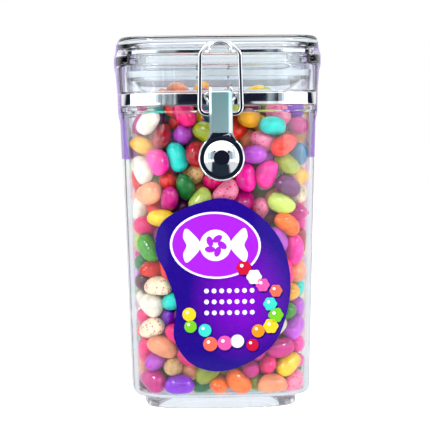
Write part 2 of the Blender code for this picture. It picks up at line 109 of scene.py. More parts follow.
# %% Place the camera
CAMERA_TURN = math.radians(-2.05)
CAMERA_DISTANCE = 0.930
CAMERA_HEIGHT = 0.1315
CAMERA_PITCH = math.radians(-2.5)
CAMERA_YAW = math.radians(0.09)
CAMERA_ROLL = math.radians(-0.70)
LENS = 157.26

camera_data = bpy.data.cameras.new("camera")
camera_data.lens = LENS
camera_data.sensor_width = 36.0
camera_data.clip_start = 0.01
camera = bpy.data.objects.new("camera", camera_data)
bpy.context.scene.collection.objects.link(camera)
spot = Vector((math.sin(CAMERA_TURN), -math.cos(CAMERA_TURN), 0.0)) * CAMERA_DISTANCE
camera.location = (spot.x, spot.y, CAMERA_HEIGHT)
heading = Matrix.Rotation(CAMERA_TURN + CAMERA_YAW, 4, "Z")
tilt = Matrix.Rotation(math.pi / 2 + CAMERA_PITCH, 4, "X")
roll = Matrix.Rotation(CAMERA_ROLL, 4, "Z")
camera.rotation_euler = (heading @ tilt @ roll).to_euler()
bpy.context.scene.camera = camera
bpy.context.scene.view_settings.view_transform = "Standard"
print("camera at", [round(v, 3) for v in camera.location])

# %% [markdown]
# ## Studio
# Polished steel and clear plastic show what stands around them. Two big soft boxes reach
# from just beside the camera round to the sides, and the gap between them stays dark. So
# the steel turns white, then black in the middle, and the beans get light from both sides.
# The room is white where it is looked at, also through the clear plastic, but dark where
# it is only mirrored: a Light Path node tells the two apart, as black cards do in a studio.

# %% Room and floor
ROOM_WHITE = 1.0
ROOM_DARK = (0.010, 0.012, 0.028, 1.0)

world = bpy.data.worlds.new("studio_room")
world.use_nodes = True
room = world.node_tree
bright = room.nodes["Background"]
bright.inputs["Color"].default_value = (1.0, 1.0, 1.0, 1.0)
bright.inputs["Strength"].default_value = ROOM_WHITE
direction = room.nodes.new("ShaderNodeTexCoord")
parts = room.nodes.new("ShaderNodeSeparateXYZ")
lean = room.nodes.new("ShaderNodeMath")
lean.operation = "MULTIPLY_ADD"
lean.inputs[1].default_value = 0.9
behind = room.nodes.new("ShaderNodeMapRange")
behind.inputs["From Min"].default_value = 0.48
behind.inputs["From Max"].default_value = 0.70
room_colours = room.nodes.new("ShaderNodeMix")
room_colours.data_type = "RGBA"
room_colours.inputs[6].default_value = ROOM_DARK
room_colours.inputs[7].default_value = (1.0, 1.0, 1.0, 1.0)
room.links.new(direction.outputs["Generated"], parts.inputs["Vector"])
room.links.new(parts.outputs["Z"], lean.inputs[0])
room.links.new(parts.outputs["Y"], lean.inputs[2])
room.links.new(lean.outputs["Value"], behind.inputs["Value"])
room.links.new(behind.outputs["Result"], room_colours.inputs["Factor"])
dark = room.nodes.new("ShaderNodeBackground")
room.links.new(room_colours.outputs[2], dark.inputs["Color"])
seen = room.nodes.new("ShaderNodeLightPath")
unmirrored = room.nodes.new("ShaderNodeMath")
unmirrored.operation = "LESS_THAN"
unmirrored.inputs[1].default_value = 0.5
through = room.nodes.new("ShaderNodeMath")
through.operation = "MULTIPLY"
either = room.nodes.new("ShaderNodeMath")
either.operation = "MAXIMUM"
choose_room = room.nodes.new("ShaderNodeMixShader")
room.links.new(seen.outputs["Is Camera Ray"], either.inputs[0])
room.links.new(seen.outputs["Glossy Depth"], unmirrored.inputs[0])
room.links.new(seen.outputs["Is Transmission Ray"], through.inputs[0])
room.links.new(unmirrored.outputs["Value"], through.inputs[1])
room.links.new(through.outputs["Value"], either.inputs[1])
room.links.new(either.outputs["Value"], choose_room.inputs["Fac"])
room.links.new(dark.outputs["Background"], choose_room.inputs[1])
room.links.new(bright.outputs["Background"], choose_room.inputs[2])
room.links.new(choose_room.outputs["Shader"], room.nodes["World Output"].inputs["Surface"])
bpy.context.scene.world = world

floor_mesh = bpy.data.meshes.new("floor")
floor_mesh.from_pydata([(-3, -3, 0), (3, -3, 0), (3, 3, 0), (-3, 3, 0)], [], [(0, 1, 2, 3)])
floor = bpy.data.objects.new("floor", floor_mesh)
bpy.context.scene.collection.objects.link(floor)
floor_paint = bpy.data.materials.new("floor_paint")
floor_paint.use_nodes = True
floor_tree = floor_paint.node_tree
pale = floor_tree.nodes["Principled BSDF"]
pale.inputs["Base Color"].default_value = (0.80, 0.80, 0.82, 1.0)
pale.inputs["Roughness"].default_value = 0.9
pale.inputs["Emission Color"].default_value = (1.0, 1.0, 1.0, 1.0)
pale.inputs["Emission Strength"].default_value = 0.85
card_paint = floor_tree.nodes.new("ShaderNodeEmission")
card_paint.inputs["Strength"].default_value = 1.0
floor_place = floor_tree.nodes.new("ShaderNodeTexCoord")
floor_parts = floor_tree.nodes.new("ShaderNodeSeparateXYZ")
aside = floor_tree.nodes.new("ShaderNodeMath")
aside.operation = "ABSOLUTE"
near = floor_tree.nodes.new("ShaderNodeMapRange")
near.inputs["From Min"].default_value = -0.20
near.inputs["From Max"].default_value = -0.16
card = floor_tree.nodes.new("ShaderNodeMapRange")
card.inputs["From Min"].default_value = 0.030
card.inputs["From Max"].default_value = 0.055
wedge = floor_tree.nodes.new("ShaderNodeMath")
wedge.operation = "MULTIPLY_ADD"
wedge.inputs[1].default_value = 0.14
either_side = floor_tree.nodes.new("ShaderNodeMath")
either_side.operation = "MAXIMUM"
card_colours = floor_tree.nodes.new("ShaderNodeMix")
card_colours.data_type = "RGBA"
card_colours.inputs[6].default_value = (0.02, 0.03, 0.05, 1.0)
card_colours.inputs[7].default_value = (0.85, 0.88, 0.92, 1.0)
floor_path = floor_tree.nodes.new("ShaderNodeLightPath")
choose_floor = floor_tree.nodes.new("ShaderNodeMixShader")
for start, end in (
    (floor_place.outputs["Object"], floor_parts.inputs["Vector"]),
    (floor_parts.outputs["X"], aside.inputs[0]),
    (floor_parts.outputs["Y"], wedge.inputs[0]),
    (aside.outputs["Value"], wedge.inputs[2]),
    (wedge.outputs["Value"], card.inputs["Value"]),
    (floor_parts.outputs["Y"], near.inputs["Value"]),
    (card.outputs["Result"], either_side.inputs[0]),
    (near.outputs["Result"], either_side.inputs[1]),
    (either_side.outputs["Value"], card_colours.inputs["Factor"]),
    (card_colours.outputs[2], card_paint.inputs["Color"]),
    (floor_path.outputs["Is Glossy Ray"], choose_floor.inputs["Fac"]),
    (pale.outputs["BSDF"], choose_floor.inputs[1]),
    (card_paint.outputs["Emission"], choose_floor.inputs[2]),
    (choose_floor.outputs["Shader"], floor_tree.nodes["Material Output"].inputs["Surface"]),
):
    floor_tree.links.new(start, end)
floor_mesh.materials.append(floor_paint)
print("room and floor", world.name, floor.name)

# %% Soft boxes
def soft_box(name, turn, distance, low, high, width, radiance, colour=(1.0, 1.0, 1.0)):
    """An upright rectangle of light that faces the jar, from height low to high."""
    data = bpy.data.lights.new(name, "AREA")
    data.shape = "RECTANGLE"
    data.size = width
    data.size_y = high - low
    data.color = colour
    data.energy = radiance * 4.0 * width * (high - low)
    lamp = bpy.data.objects.new(name, data)
    angle = math.radians(turn)
    lamp.location = (
        math.sin(angle) * distance, -math.cos(angle) * distance, (low + high) / 2
    )
    lamp.rotation_euler = (math.pi / 2, 0.0, angle)
    bpy.context.scene.collection.objects.link(lamp)
    return lamp


# each box fades towards the middle of the room in two dimmer strips
for side, inner in ((-1, 8.7), (1, 12.6)):
    edges = (inner, inner + 3.5, inner + 11.0)
    for start, end, radiance in zip(edges, edges[1:], (0.40, 0.80)):
        width = 2 * math.tan(math.radians((end - start) / 2))
        turn = side * (start + end) / 2
        soft_box(f"fade_{side}_{start}", turn, 1.0, 0.02, 1.9, width, radiance, (0.80, 0.93, 1.0))
    spread = math.radians((95.0 - edges[-1]) / 2)
    turn = side * (95.0 + edges[-1]) / 2
    soft_box(f"main_{side}", turn, 0.62, 0.02, 0.62, 1.24 * math.tan(spread), 1.35)
soft_box("left_edge", -8.1, 0.99, 0.02, 1.25, 0.006, 1.0, (0.85, 0.95, 1.0))
overhead = bpy.data.lights.new("overhead", "AREA")
overhead.size = 1.1
overhead.energy = 6.0
overhead_lamp = bpy.data.objects.new("overhead", overhead)
overhead_lamp.location = (0.0, 0.1, 1.35)
bpy.context.scene.collection.objects.link(overhead_lamp)
front_card = bpy.data.lights.new("front_card", "AREA")
front_card.shape = "RECTANGLE"
front_card.size = 0.60
front_card.size_y = 0.34
front_card.energy = 1.3 * 4.0 * 0.60 * 0.34
front_lamp = bpy.data.objects.new("front_card", front_card)
front_lamp.location = (0.0, -0.84, 0.42)
front_lamp.rotation_euler = (math.radians(90 - 19), 0.0, 0.0)
bpy.context.scene.collection.objects.link(front_lamp)
for name, x, height, radiance in (("left_glint", -0.30, 0.46, 19.0), ("right_glint", 0.36, 0.36, 12.0)):
    glint = bpy.data.lights.new(name, "AREA")
    glint.size = 0.14
    glint.energy = radiance * 4.0 * 0.14**2
    glint_lamp = bpy.data.objects.new(name, glint)
    glint_lamp.location = (x, -0.44, height)
    aim = Vector((0.0, -0.04, 0.09)) - glint_lamp.location
    glint_lamp.rotation_euler = aim.to_track_quat("-Z", "Y").to_euler()
    bpy.context.scene.collection.objects.link(glint_lamp)

# %% [markdown]
# ## Helpers for shapes
# Nearly every hard piece is one profile carried around the jar's plan. A profile is a list
# of corners, each with its half width, its height and how far its rounding reaches back
# from the corner. The rounding is a short curve, so glass and steel get soft highlights
# along every edge.

# %% Outline, rounded corners and mouldings
SIDE_STEPS = 14
CORNER_STEPS = 18


def wall_half(height):
    share = (height - BASE_ROUND_TOP) / (LEDGE_BOTTOM - BASE_ROUND_TOP)
    return BASE_HALF + (SHOULDER_HALF - BASE_HALF) * share


def corner_centre(half, height):
    level = min(max(height, BASE_ROUND_TOP), LEDGE_BOTTOM)
    centre = CORNER_CENTRE - (SHOULDER_HALF - wall_half(level))
    if height < BASE_ROUND_TOP:
        centre = min(centre, half - SIDE_BULGE - FOOT_CORNER)
    return centre


def outline(half, height):
    centre = corner_centre(half, height)
    radius = half - centre - SIDE_BULGE
    points = []
    for quarter in range(4):
        turn = Matrix.Rotation(quarter * math.pi / 2, 3, "Z")
        for step in range(SIDE_STEPS):
            along = 2 * step / SIDE_STEPS - 1
            points.append(turn @ Vector((half - SIDE_BULGE * along**2, centre * along, height)))
        for step in range(CORNER_STEPS):
            angle = step / CORNER_STEPS * math.pi / 2
            x = centre + radius * math.cos(angle)
            y = centre + radius * math.sin(angle)
            points.append(turn @ Vector((x, y, height)))
    return points


def bent_path(corners, bends, steps=8):
    """Straight runs with each inner corner rounded by its bend."""
    corners = [Vector(corner) for corner in corners]
    path = [corners[0]]
    for index in range(1, len(corners) - 1):
        corner = corners[index]
        bend = bends[index - 1]
        start = corner + (corners[index - 1] - corner).normalized() * bend
        end = corner + (corners[index + 1] - corner).normalized() * bend
        for step in range(steps + 1):
            t = step / steps
            path.append(start.lerp(corner, t).lerp(corner.lerp(end, t), t))
    path.append(corners[-1])
    return path


def arc(centre, radii, start, end, steps):
    points = []
    for step in range(steps + 1):
        angle = math.radians(start + (end - start) * step / steps)
        points.append(
            (centre[0] + radii[0] * math.cos(angle), centre[1] + radii[1] * math.sin(angle))
        )
    return points


def new_piece(name, shape, angle=38.0):
    """Finish a bmesh as an object with outward faces and smooth shading."""
    bmesh.ops.remove_doubles(shape, verts=shape.verts, dist=1e-7)
    bmesh.ops.recalc_face_normals(shape, faces=shape.faces)
    mesh = bpy.data.meshes.new(name)
    shape.to_mesh(mesh)
    shape.free()
    mesh.shade_smooth()
    mesh.set_sharp_from_angle(angle=math.radians(angle))
    piece = bpy.data.objects.new(name, mesh)
    bpy.context.scene.collection.objects.link(piece)
    return piece


def moulding(name, corners, closed=False, steps=5):
    """Carry (half width, height, bend) corners around the plan of the jar."""
    line = [(half, height, 0.0) for half, height, _ in corners]
    bends = [bend for _, _, bend in corners]
    if closed:
        line = [line[-1]] + line + [line[0]]
        path = bent_path(line, bends, steps)[1:-1]
    else:
        path = bent_path(line, bends[1:-1], steps)
    shape = bmesh.new()
    rings = [[shape.verts.new(p) for p in outline(spot.x, spot.y)] for spot in path]
    pairs = list(zip(rings, rings[1:]))
    if closed:
        pairs.append((rings[-1], rings[0]))
    else:
        shape.faces.new(rings[0])
        shape.faces.new(rings[-1])
    count = len(rings[0])
    for lower, upper in pairs:
        for index in range(count):
            after = (index + 1) % count
            shape.faces.new((lower[index], lower[after], upper[after], upper[index]))
    return new_piece(name, shape)


def attach(piece, body, slot, *nodes):
    """Hand a finished piece to the frame: what it rides on and what it stands for."""
    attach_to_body(piece, body)
    if nodes:
        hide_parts(*nodes)
    print(piece.name, "faces", len(piece.data.polygons))
    return piece


# %% [markdown]
# ## Helpers for materials
# Each finish starts as a Principled shader. A small function sets its plain values, and
# another adds noise where the real surface is uneven.

# %% Material helpers
def linear(red, green, blue):
    """A colour given as it looks on screen, 0 to 255, as the shader wants it."""
    return tuple((value / 255.0) ** 2.2 for value in (red, green, blue))


def finish(name, colour, **values):
    made = bpy.data.materials.new(name)
    made.use_nodes = True
    shader = made.node_tree.nodes["Principled BSDF"]
    shader.inputs["Base Color"].default_value = (*colour, 1.0)
    for socket, value in values.items():
        shader.inputs[socket.replace("_", " ")].default_value = value
    return made


def node(made, kind, **values):
    """Add a node and set its input values by name."""
    added = made.node_tree.nodes.new(kind)
    for socket, value in values.items():
        added.inputs[socket.replace("_", " ")].default_value = value
    return added


def link(made, source, target):
    made.node_tree.links.new(source, target)


def principled(made):
    return made.node_tree.nodes["Principled BSDF"]


def object_place(made, scale=(1.0, 1.0, 1.0), move=(0.0, 0.0, 0.0)):
    """Object coordinates through a Mapping node."""
    place = made.node_tree.nodes.new("ShaderNodeTexCoord")
    mapping = node(made, "ShaderNodeMapping", Scale=scale, Location=move)
    link(made, place.outputs["Object"], mapping.inputs["Vector"])
    return mapping.outputs["Vector"]


def rough_noise(made, scale, low, high):
    """Uneven polish: noise drives the roughness between two values."""
    cloud = node(made, "ShaderNodeTexNoise", Scale=scale, Detail=3.0)
    link(made, object_place(made), cloud.inputs["Vector"])
    spread = node(made, "ShaderNodeMapRange", To_Min=low, To_Max=high)
    link(made, cloud.outputs["Fac"], spread.inputs["Value"])
    link(made, spread.outputs["Result"], principled(made).inputs["Roughness"])


def noise_bump(made, scale, height, stretch=(1.0, 1.0, 1.0)):
    """A low relief of noise, its height in metres."""
    cloud = node(made, "ShaderNodeTexNoise", Scale=scale, Detail=2.0)
    link(made, object_place(made, stretch), cloud.inputs["Vector"])
    bump = node(made, "ShaderNodeBump", Strength=1.0, Distance=height)
    link(made, cloud.outputs["Fac"], bump.inputs["Height"])
    link(made, bump.outputs["Normal"], principled(made).inputs["Normal"])


# %% [markdown]
# ## Clear plastic
# The jar and the lid are moulded in clear plastic. It bends light like glass does, so the
# walls need a real thickness, and the edges then show thin dark and bright lines. Light
# from the lamps must reach the beans, so rays that only carry light pass straight through.

# %% The clear finish
def clear_finish(name, tint):
    made = finish(
        name, tint, Roughness=0.0, IOR=1.45, Transmission_Weight=1.0
    )
    noise_bump(made, 22.0, 0.00012)
    nodes = made.node_tree.nodes
    straight = nodes.new("ShaderNodeBsdfTransparent")
    straight.inputs["Color"].default_value = (0.96, 0.97, 0.98, 1.0)
    path = nodes.new("ShaderNodeLightPath")
    carries = nodes.new("ShaderNodeMath")
    carries.operation = "MAXIMUM"
    link(made, path.outputs["Is Shadow Ray"], carries.inputs[0])
    link(made, path.outputs["Is Diffuse Ray"], carries.inputs[1])
    choose = nodes.new("ShaderNodeMixShader")
    link(made, carries.outputs["Value"], choose.inputs["Fac"])
    link(made, principled(made).outputs["BSDF"], choose.inputs[1])
    link(made, straight.outputs["BSDF"], choose.inputs[2])
    link(made, choose.outputs["Shader"], nodes["Material Output"].inputs["Surface"])
    return made


clear_plastic = clear_finish("clear_plastic", (0.92, 0.95, 0.985))
lid_plastic = clear_finish("lid_plastic", (0.88, 0.925, 0.96))
print("clear plastic bends light by", 1.45)

# %% [markdown]
# ## Jar body
# One moulding from the hollow foot, round the bottom edge, up the drafted wall to the
# ledge under the steel band, over the rim and down the inside to the floor.

# %% Mould the jar body
FOOT_HALF = 0.0373
FOOT_INNER = 0.0349
FOOT_HEIGHT = 0.0055
body_corners = [
    (FOOT_INNER - 0.0012, FOOT_HEIGHT, 0.0),
    (FOOT_INNER - 0.0004, FOOT_HEIGHT, 0.0005),
    (FOOT_INNER, 0.0, 0.0004),
    (FOOT_HALF - 0.0002, 0.0, 0.0006),
    (FOOT_HALF, FOOT_HEIGHT + 0.0002, 0.0006),
    (BASE_HALF - 0.0001, FOOT_HEIGHT + 0.0002, 0.0037),
    (SHOULDER_HALF, LEDGE_BOTTOM, 0.0006),
    (BAND_HALF, LEDGE_BOTTOM + 0.0009, 0.0004),
    (BAND_HALF, BAND_BOTTOM - 0.0005, 0.0003),
    (SHOULDER_HALF - 0.0004, BAND_BOTTOM - 0.0004, 0.0002),
    (SHOULDER_HALF - 0.0004, BAND_TOP + 0.0004, 0.0002),
    (BAND_HALF, BAND_TOP + 0.0006, 0.0004),
    (0.0490, RIM_TOP, 0.0008),
    (MOUTH_HALF, RIM_TOP, 0.0008),
    (MOUTH_HALF, BAND_BOTTOM - 0.0004, 0.0008),
    (SHOULDER_HALF - WALL, LEDGE_BOTTOM - 0.0010, 0.0008),
    (BASE_HALF - WALL, FLOOR_TOP, 0.0022),
    (0.0300, FLOOR_TOP, 0.0),
]
jar_body = moulding("clear_body", body_corners)
jar_body.data.materials.append(clear_plastic)
attach(jar_body, BODY, "clear_plastic", "jar_body")

# %% [markdown]
# ## Lid and gasket
# The lid is a second clear moulding: a raised top, a groove in which the steel wire lies,
# a flange that rests on the rim, and a hollow plug that reaches into the mouth. A soft
# ring round the plug seals it.

# %% Mould the lid and its gasket
GROOVE_HALF = 0.0449
GROOVE_BOTTOM = 0.1684
GROOVE_TOP = 0.1716
FLANGE_BOTTOM = 0.1641
LID_HALF = 0.0490
PLUG_HALF = 0.0434
PLUG_INNER = 0.0410
PLUG_BOTTOM = lid_low[2]
CEILING = 0.1744
lid_corners = [
    (0.0380, JAR_TOP, 0.0),
    (LID_HALF, JAR_TOP, 0.0027),
    (LID_HALF, GROOVE_TOP, 0.0005),
    (GROOVE_HALF, GROOVE_TOP, 0.0004),
    (GROOVE_HALF, GROOVE_BOTTOM, 0.0004),
    (FLANGE_HALF, GROOVE_BOTTOM, 0.0008),
    (FLANGE_HALF, FLANGE_BOTTOM, 0.0006),
    (PLUG_HALF, FLANGE_BOTTOM, 0.0003),
    (PLUG_HALF, PLUG_BOTTOM, 0.0005),
    (PLUG_INNER, PLUG_BOTTOM, 0.0005),
    (PLUG_INNER - 0.0004, CEILING, 0.0022),
    (0.0300, CEILING, 0.0),
]
lid = moulding("clear_lid", lid_corners)
lid.data.materials.append(lid_plastic)
attach(lid, BODY, "clear_plastic", "lid")

soft_ring = finish("soft_ring", (0.46, 0.49, 0.49), Roughness=0.35, Alpha=0.80)
rough_noise(soft_ring, 900.0, 0.28, 0.42)
gasket_low, gasket_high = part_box("gasket")
GASKET_HALF = gasket_high[0]
gasket = moulding(
    "gasket_ring",
    [
        (PLUG_HALF + 0.0003, gasket_low[2], 0.0004),
        (GASKET_HALF, gasket_low[2], 0.0006),
        (GASKET_HALF, gasket_high[2], 0.0006),
        (PLUG_HALF + 0.0003, gasket_high[2], 0.0004),
    ],
    closed=True,
)
gasket.data.materials.append(soft_ring)
attach(gasket, BODY, "gasket", "gasket")

# %% [markdown]
# ## Polished steel
# Band, wires and lever are bright polished steel. A mirror finish has only a trace of
# roughness, and a very low relief, which makes the reflections run a little unevenly.

# %% The steel finish
def steel_finish(name, low, high, relief):
    made = finish(name, (0.80, 0.82, 0.83), Metallic=1.0)
    rough_noise(made, 260.0, low, high)
    noise_bump(made, 300.0, relief)
    return made


bright_steel = steel_finish("bright_steel", 0.03, 0.07, 0.000004)
wire_steel = steel_finish("wire_steel", 0.05, 0.10, 0.000003)
print("steel finishes", bright_steel.name, wire_steel.name)

# %% [markdown]
# ## Neck band
# A flat strip of steel lies in the groove under the rim. Its two edges are folded, so they
# are rounded and catch a thin line of light.

# %% Roll the neck band
band = moulding(
    "steel_band",
    [
        (BAND_HALF - 0.0008, BAND_BOTTOM, 0.0002),
        (BAND_HALF, BAND_BOTTOM, 0.0004),
        (BAND_HALF, BAND_TOP, 0.0004),
        (BAND_HALF - 0.0008, BAND_TOP, 0.0002),
    ],
    closed=True,
)
band.data.materials.append(bright_steel)
attach(band, BODY, "steel", "neck_band")

# %% [markdown]
# ## Wires
# Lid wire, link and pivot wire are bent from round wire. Each is a path with rounded
# bends, drawn for one half and mirrored, which a curve with a round section then turns
# into a smooth tube.

# %% Draw the wires
def mirrored(half_path):
    other = [Vector((-p.x, p.y, p.z)) for p in reversed(half_path)]
    skip = 1 if abs(half_path[-1].x) < 1e-6 else 0
    return half_path + other[skip:]


def curve_mesh(name, item):
    """Turn an evaluated object into a plain mesh at the origin."""
    bpy.context.view_layer.update()
    evaluated = item.evaluated_get(bpy.context.evaluated_depsgraph_get())
    mesh = bpy.data.meshes.new_from_object(evaluated)
    mesh.transform(item.matrix_world)
    bpy.data.objects.remove(item, do_unlink=True)
    shape = bmesh.new()
    shape.from_mesh(mesh)
    bpy.data.meshes.remove(mesh)
    return new_piece(name, shape)


def poly_curve(name, points, cyclic):
    curve = bpy.data.curves.new(name, "CURVE")
    curve.dimensions = "3D"
    spline = curve.splines.new("POLY")
    spline.points.add(len(points) - 1)
    for point, place in zip(spline.points, points):
        point.co = (*place, 1.0)
    spline.use_cyclic_u = cyclic
    item = bpy.data.objects.new(name + "_path", curve)
    bpy.context.scene.collection.objects.link(item)
    return item


def wire(name, path, radius, made, flat=0.78, lying=False):
    """A wire whose front and back are pressed a little flat in the bending tool."""
    ring = []
    for step in range(32):
        angle = math.tau * step / 32
        side = max(-flat, min(flat, math.sin(angle))) * radius
        rise = math.cos(angle) * radius
        ring.append((rise, side, 0.0) if lying else (side, rise, 0.0))
    section = poly_curve(name + "_section", ring, True)
    item = poly_curve(name, path, False)
    item.data.bevel_mode = "OBJECT"
    item.data.bevel_object = section
    item.data.use_fill_caps = True
    piece = curve_mesh(name, item)
    bpy.data.objects.remove(section, do_unlink=True)
    piece.data.materials.append(made)
    return piece


RING_WIRE = 0.0009
RING_HEIGHT = 0.1700
RING_HALF = 0.0463
ARCH_HALF = 0.00485
ARCH_RISE = 0.0044
ARCH_FOOT = Vector((-ARCH_HALF, -0.0543, 0.1694))
TAIL_HALF = 0.0082
hinge_y = hinge_high[1] - 0.0022
HINGE_HEIGHT = 0.1476

tail = bent_path(
    [
        (-0.0010, hinge_y, HINGE_HEIGHT),
        (-TAIL_HALF, hinge_y, HINGE_HEIGHT),
        (-TAIL_HALF, hinge_y, RING_HEIGHT),
        (-TAIL_HALF, RING_HALF, RING_HEIGHT),
        (-CORNER_CENTRE / 2, RING_HALF, RING_HEIGHT),
    ],
    [0.0015, 0.0030, 0.0028],
)
groove = [p for p in outline(RING_HALF, RING_HEIGHT) if p.x < -CORNER_CENTRE / 2]
foot = bent_path(
    [groove[-1], (-0.0066, -RING_HALF, RING_HEIGHT), ARCH_FOOT, ARCH_FOOT + Vector((0, 0, 0.0012))],
    [0.0016, 0.0010],
)
arch = []
for x, rise in arc((0.0, 0.0), (-ARCH_HALF, ARCH_RISE - 0.0012), 8, 90, 14):
    arch.append(Vector((x, ARCH_FOOT.y - 0.16 * rise, ARCH_FOOT.z + 0.0012 + rise)))
lid_wire = wire("lid_wire", mirrored(tail[:-1] + groove[:-1] + foot + arch), RING_WIRE, wire_steel, 0.70, lying=True)
attach(lid_wire, BODY, "steel", "lid_ring")

PIN_Y = -0.0522
PIN_Z = 0.1404
BOW_Y = -0.0516
BOW_Z = 0.1733
LINK_WIRE = 0.00105


def on_link(x, z):
    share = (z - PIN_Z) / (BOW_Z - PIN_Z)
    return (x, PIN_Y + (BOW_Y - PIN_Y) * share, z)


link_path = bent_path(
    [
        on_link(-0.0036, PIN_Z),
        on_link(-0.0098, PIN_Z),
        on_link(-0.0092, 0.1687),
        on_link(-0.0056, BOW_Z - 0.0002),
        on_link(0.0, BOW_Z),
    ],
    [0.0036, 0.0016, 0.0016],
    steps=12,
)
wire_link = wire("wire_link", mirrored(link_path), LINK_WIRE, wire_steel)
attach(wire_link, "link", "steel", "link")

PIVOT_Y = -0.0534
PIVOT_Z = 0.1502
carrier_path = bent_path(
    [
        (-0.0052, -BAND_HALF - 0.0006, 0.1454),
        (-0.0072, -0.0512, 0.1486),
        (-0.0070, PIVOT_Y, PIVOT_Z),
        (0.0, PIVOT_Y, PIVOT_Z),
    ],
    [0.0010, 0.0012],
)
carrier = wire("pivot_carrier", mirrored(carrier_path), 0.00065, wire_steel)


# %% [markdown]
# ## Small steel plates
# The tab that holds the pivot wire and the hinge behind the neck are cut from plate and
# welded together. Boolean unions join the shapes, and a small bevel breaks the edges.

# %% Tab, hinge and their joins
def block(name, low, high):
    shape = bmesh.new()
    bmesh.ops.create_cube(shape, size=1.0)
    bmesh.ops.scale(shape, vec=Vector(high) - Vector(low), verts=shape.verts)
    bmesh.ops.translate(shape, vec=(Vector(high) + Vector(low)) / 2, verts=shape.verts)
    bmesh.ops.bevel(
        shape, geom=shape.edges, offset=0.00018, segments=2, affect="EDGES", profile=0.5
    )
    return new_piece(name, shape)


def bar_x(name, radius, length, centre):
    shape = bmesh.new()
    bmesh.ops.create_cone(
        shape, cap_ends=True, segments=40, radius1=radius, radius2=radius, depth=length
    )
    turn = Matrix.Translation(centre) @ Matrix.Rotation(math.pi / 2, 4, "Y")
    bmesh.ops.transform(shape, matrix=turn, verts=shape.verts)
    return new_piece(name, shape)


def combine(name, base, tools):
    """Join tools to a base, or cut them from it, and return one new mesh object."""
    for tool, operation in tools:
        change = base.modifiers.new(tool.name, "BOOLEAN")
        change.object = tool
        change.operation = operation
        change.solver = "EXACT"
    result = curve_mesh(name, base)
    for tool, _ in tools:
        bpy.data.objects.remove(tool, do_unlink=True)
    return result


tab = block("tab", (-0.0064, -BAND_HALF - 0.0011, 0.1447), (0.0064, -BAND_HALF - 0.0001, 0.1462))
carrier = combine("lever_carrier", carrier, [(tab, "UNION")])
carrier.data.materials.clear()
carrier.data.materials.append(wire_steel)
attach(carrier, BODY, "steel", "pivot_wire")

hinge_centre = (0.0, hinge_y, HINGE_HEIGHT)
barrel = bar_x("barrel", 0.0022, 0.0120, hinge_centre)
hinge = combine(
    "rear_hinge",
    barrel,
    [
        (block("web", (-0.0060, BAND_HALF + 0.0005, 0.1468), (0.0060, hinge_y, 0.1484)), "UNION"),
        (block("back", (-0.0080, BAND_HALF + 0.0001, 0.1449), (0.0080, BAND_HALF + 0.0011, 0.1503)), "UNION"),
        (bar_x("bore", 0.0013, 0.03, hinge_centre), "DIFFERENCE"),
    ],
)
hinge.data.materials.clear()
hinge.data.materials.append(bright_steel)
attach(hinge, BODY, "steel", "hinge")

# %% [markdown]
# ## Lever
# The lever is pressed from one sheet: a flat stem, two ears folded back that hold the
# pivots, and a round spoon for the fingertip with a rolled rim and a domed middle. The
# stem and ears are flat outlines with thickness, and the spoon is a turned profile.

# %% Press the lever
LEVER_SHEET = 0.0009
SHEET_Y = -0.0570 + LEVER_SHEET / 2
STEM_HALF = 0.00535
STEM_TOP = 0.1526
FACE_TOP = 0.1508
SPOON_Z = 0.1198
SPOON_RADIUS = lever_high[0]


def plate(name, outlines, thickness, place):
    curve = bpy.data.curves.new(name, "CURVE")
    curve.dimensions = "2D"
    curve.fill_mode = "BOTH"
    curve.extrude = thickness / 2
    for points in outlines:
        spline = curve.splines.new("POLY")
        spline.points.add(len(points) - 1)
        for point, spot in zip(spline.points, points):
            point.co = (spot[0], spot[1], 0.0, 1.0)
        spline.use_cyclic_u = True
    item = bpy.data.objects.new(name + "_flat", curve)
    item.matrix_world = place
    bpy.context.scene.collection.objects.link(item)
    return curve_mesh(name, item)


def stem_outline():
    tangent = 46.0
    right = [(STEM_HALF, FACE_TOP), (STEM_HALF, 0.1318)]
    right += arc((0.0, SPOON_Z), (SPOON_RADIUS, SPOON_RADIUS), tangent + 6, tangent, 3)
    inner = SPOON_RADIUS - 0.0012
    hollow = arc((0.0, SPOON_Z), (inner, inner), tangent, 180 - tangent, 24)
    return right + hollow + [(-x, z) for x, z in reversed(right)]


def ear_outline():
    front = SHEET_Y
    top = arc((PIVOT_Y, PIVOT_Z), (0.0022, 0.0043), 110, 0, 16)
    back = arc((PIN_Y, PIN_Z), (0.0023, 0.0023), 20, -60, 10)
    return [(front, 0.1320), (front, STEM_TOP), *top, *back, (front + 0.0014, 0.1330)]


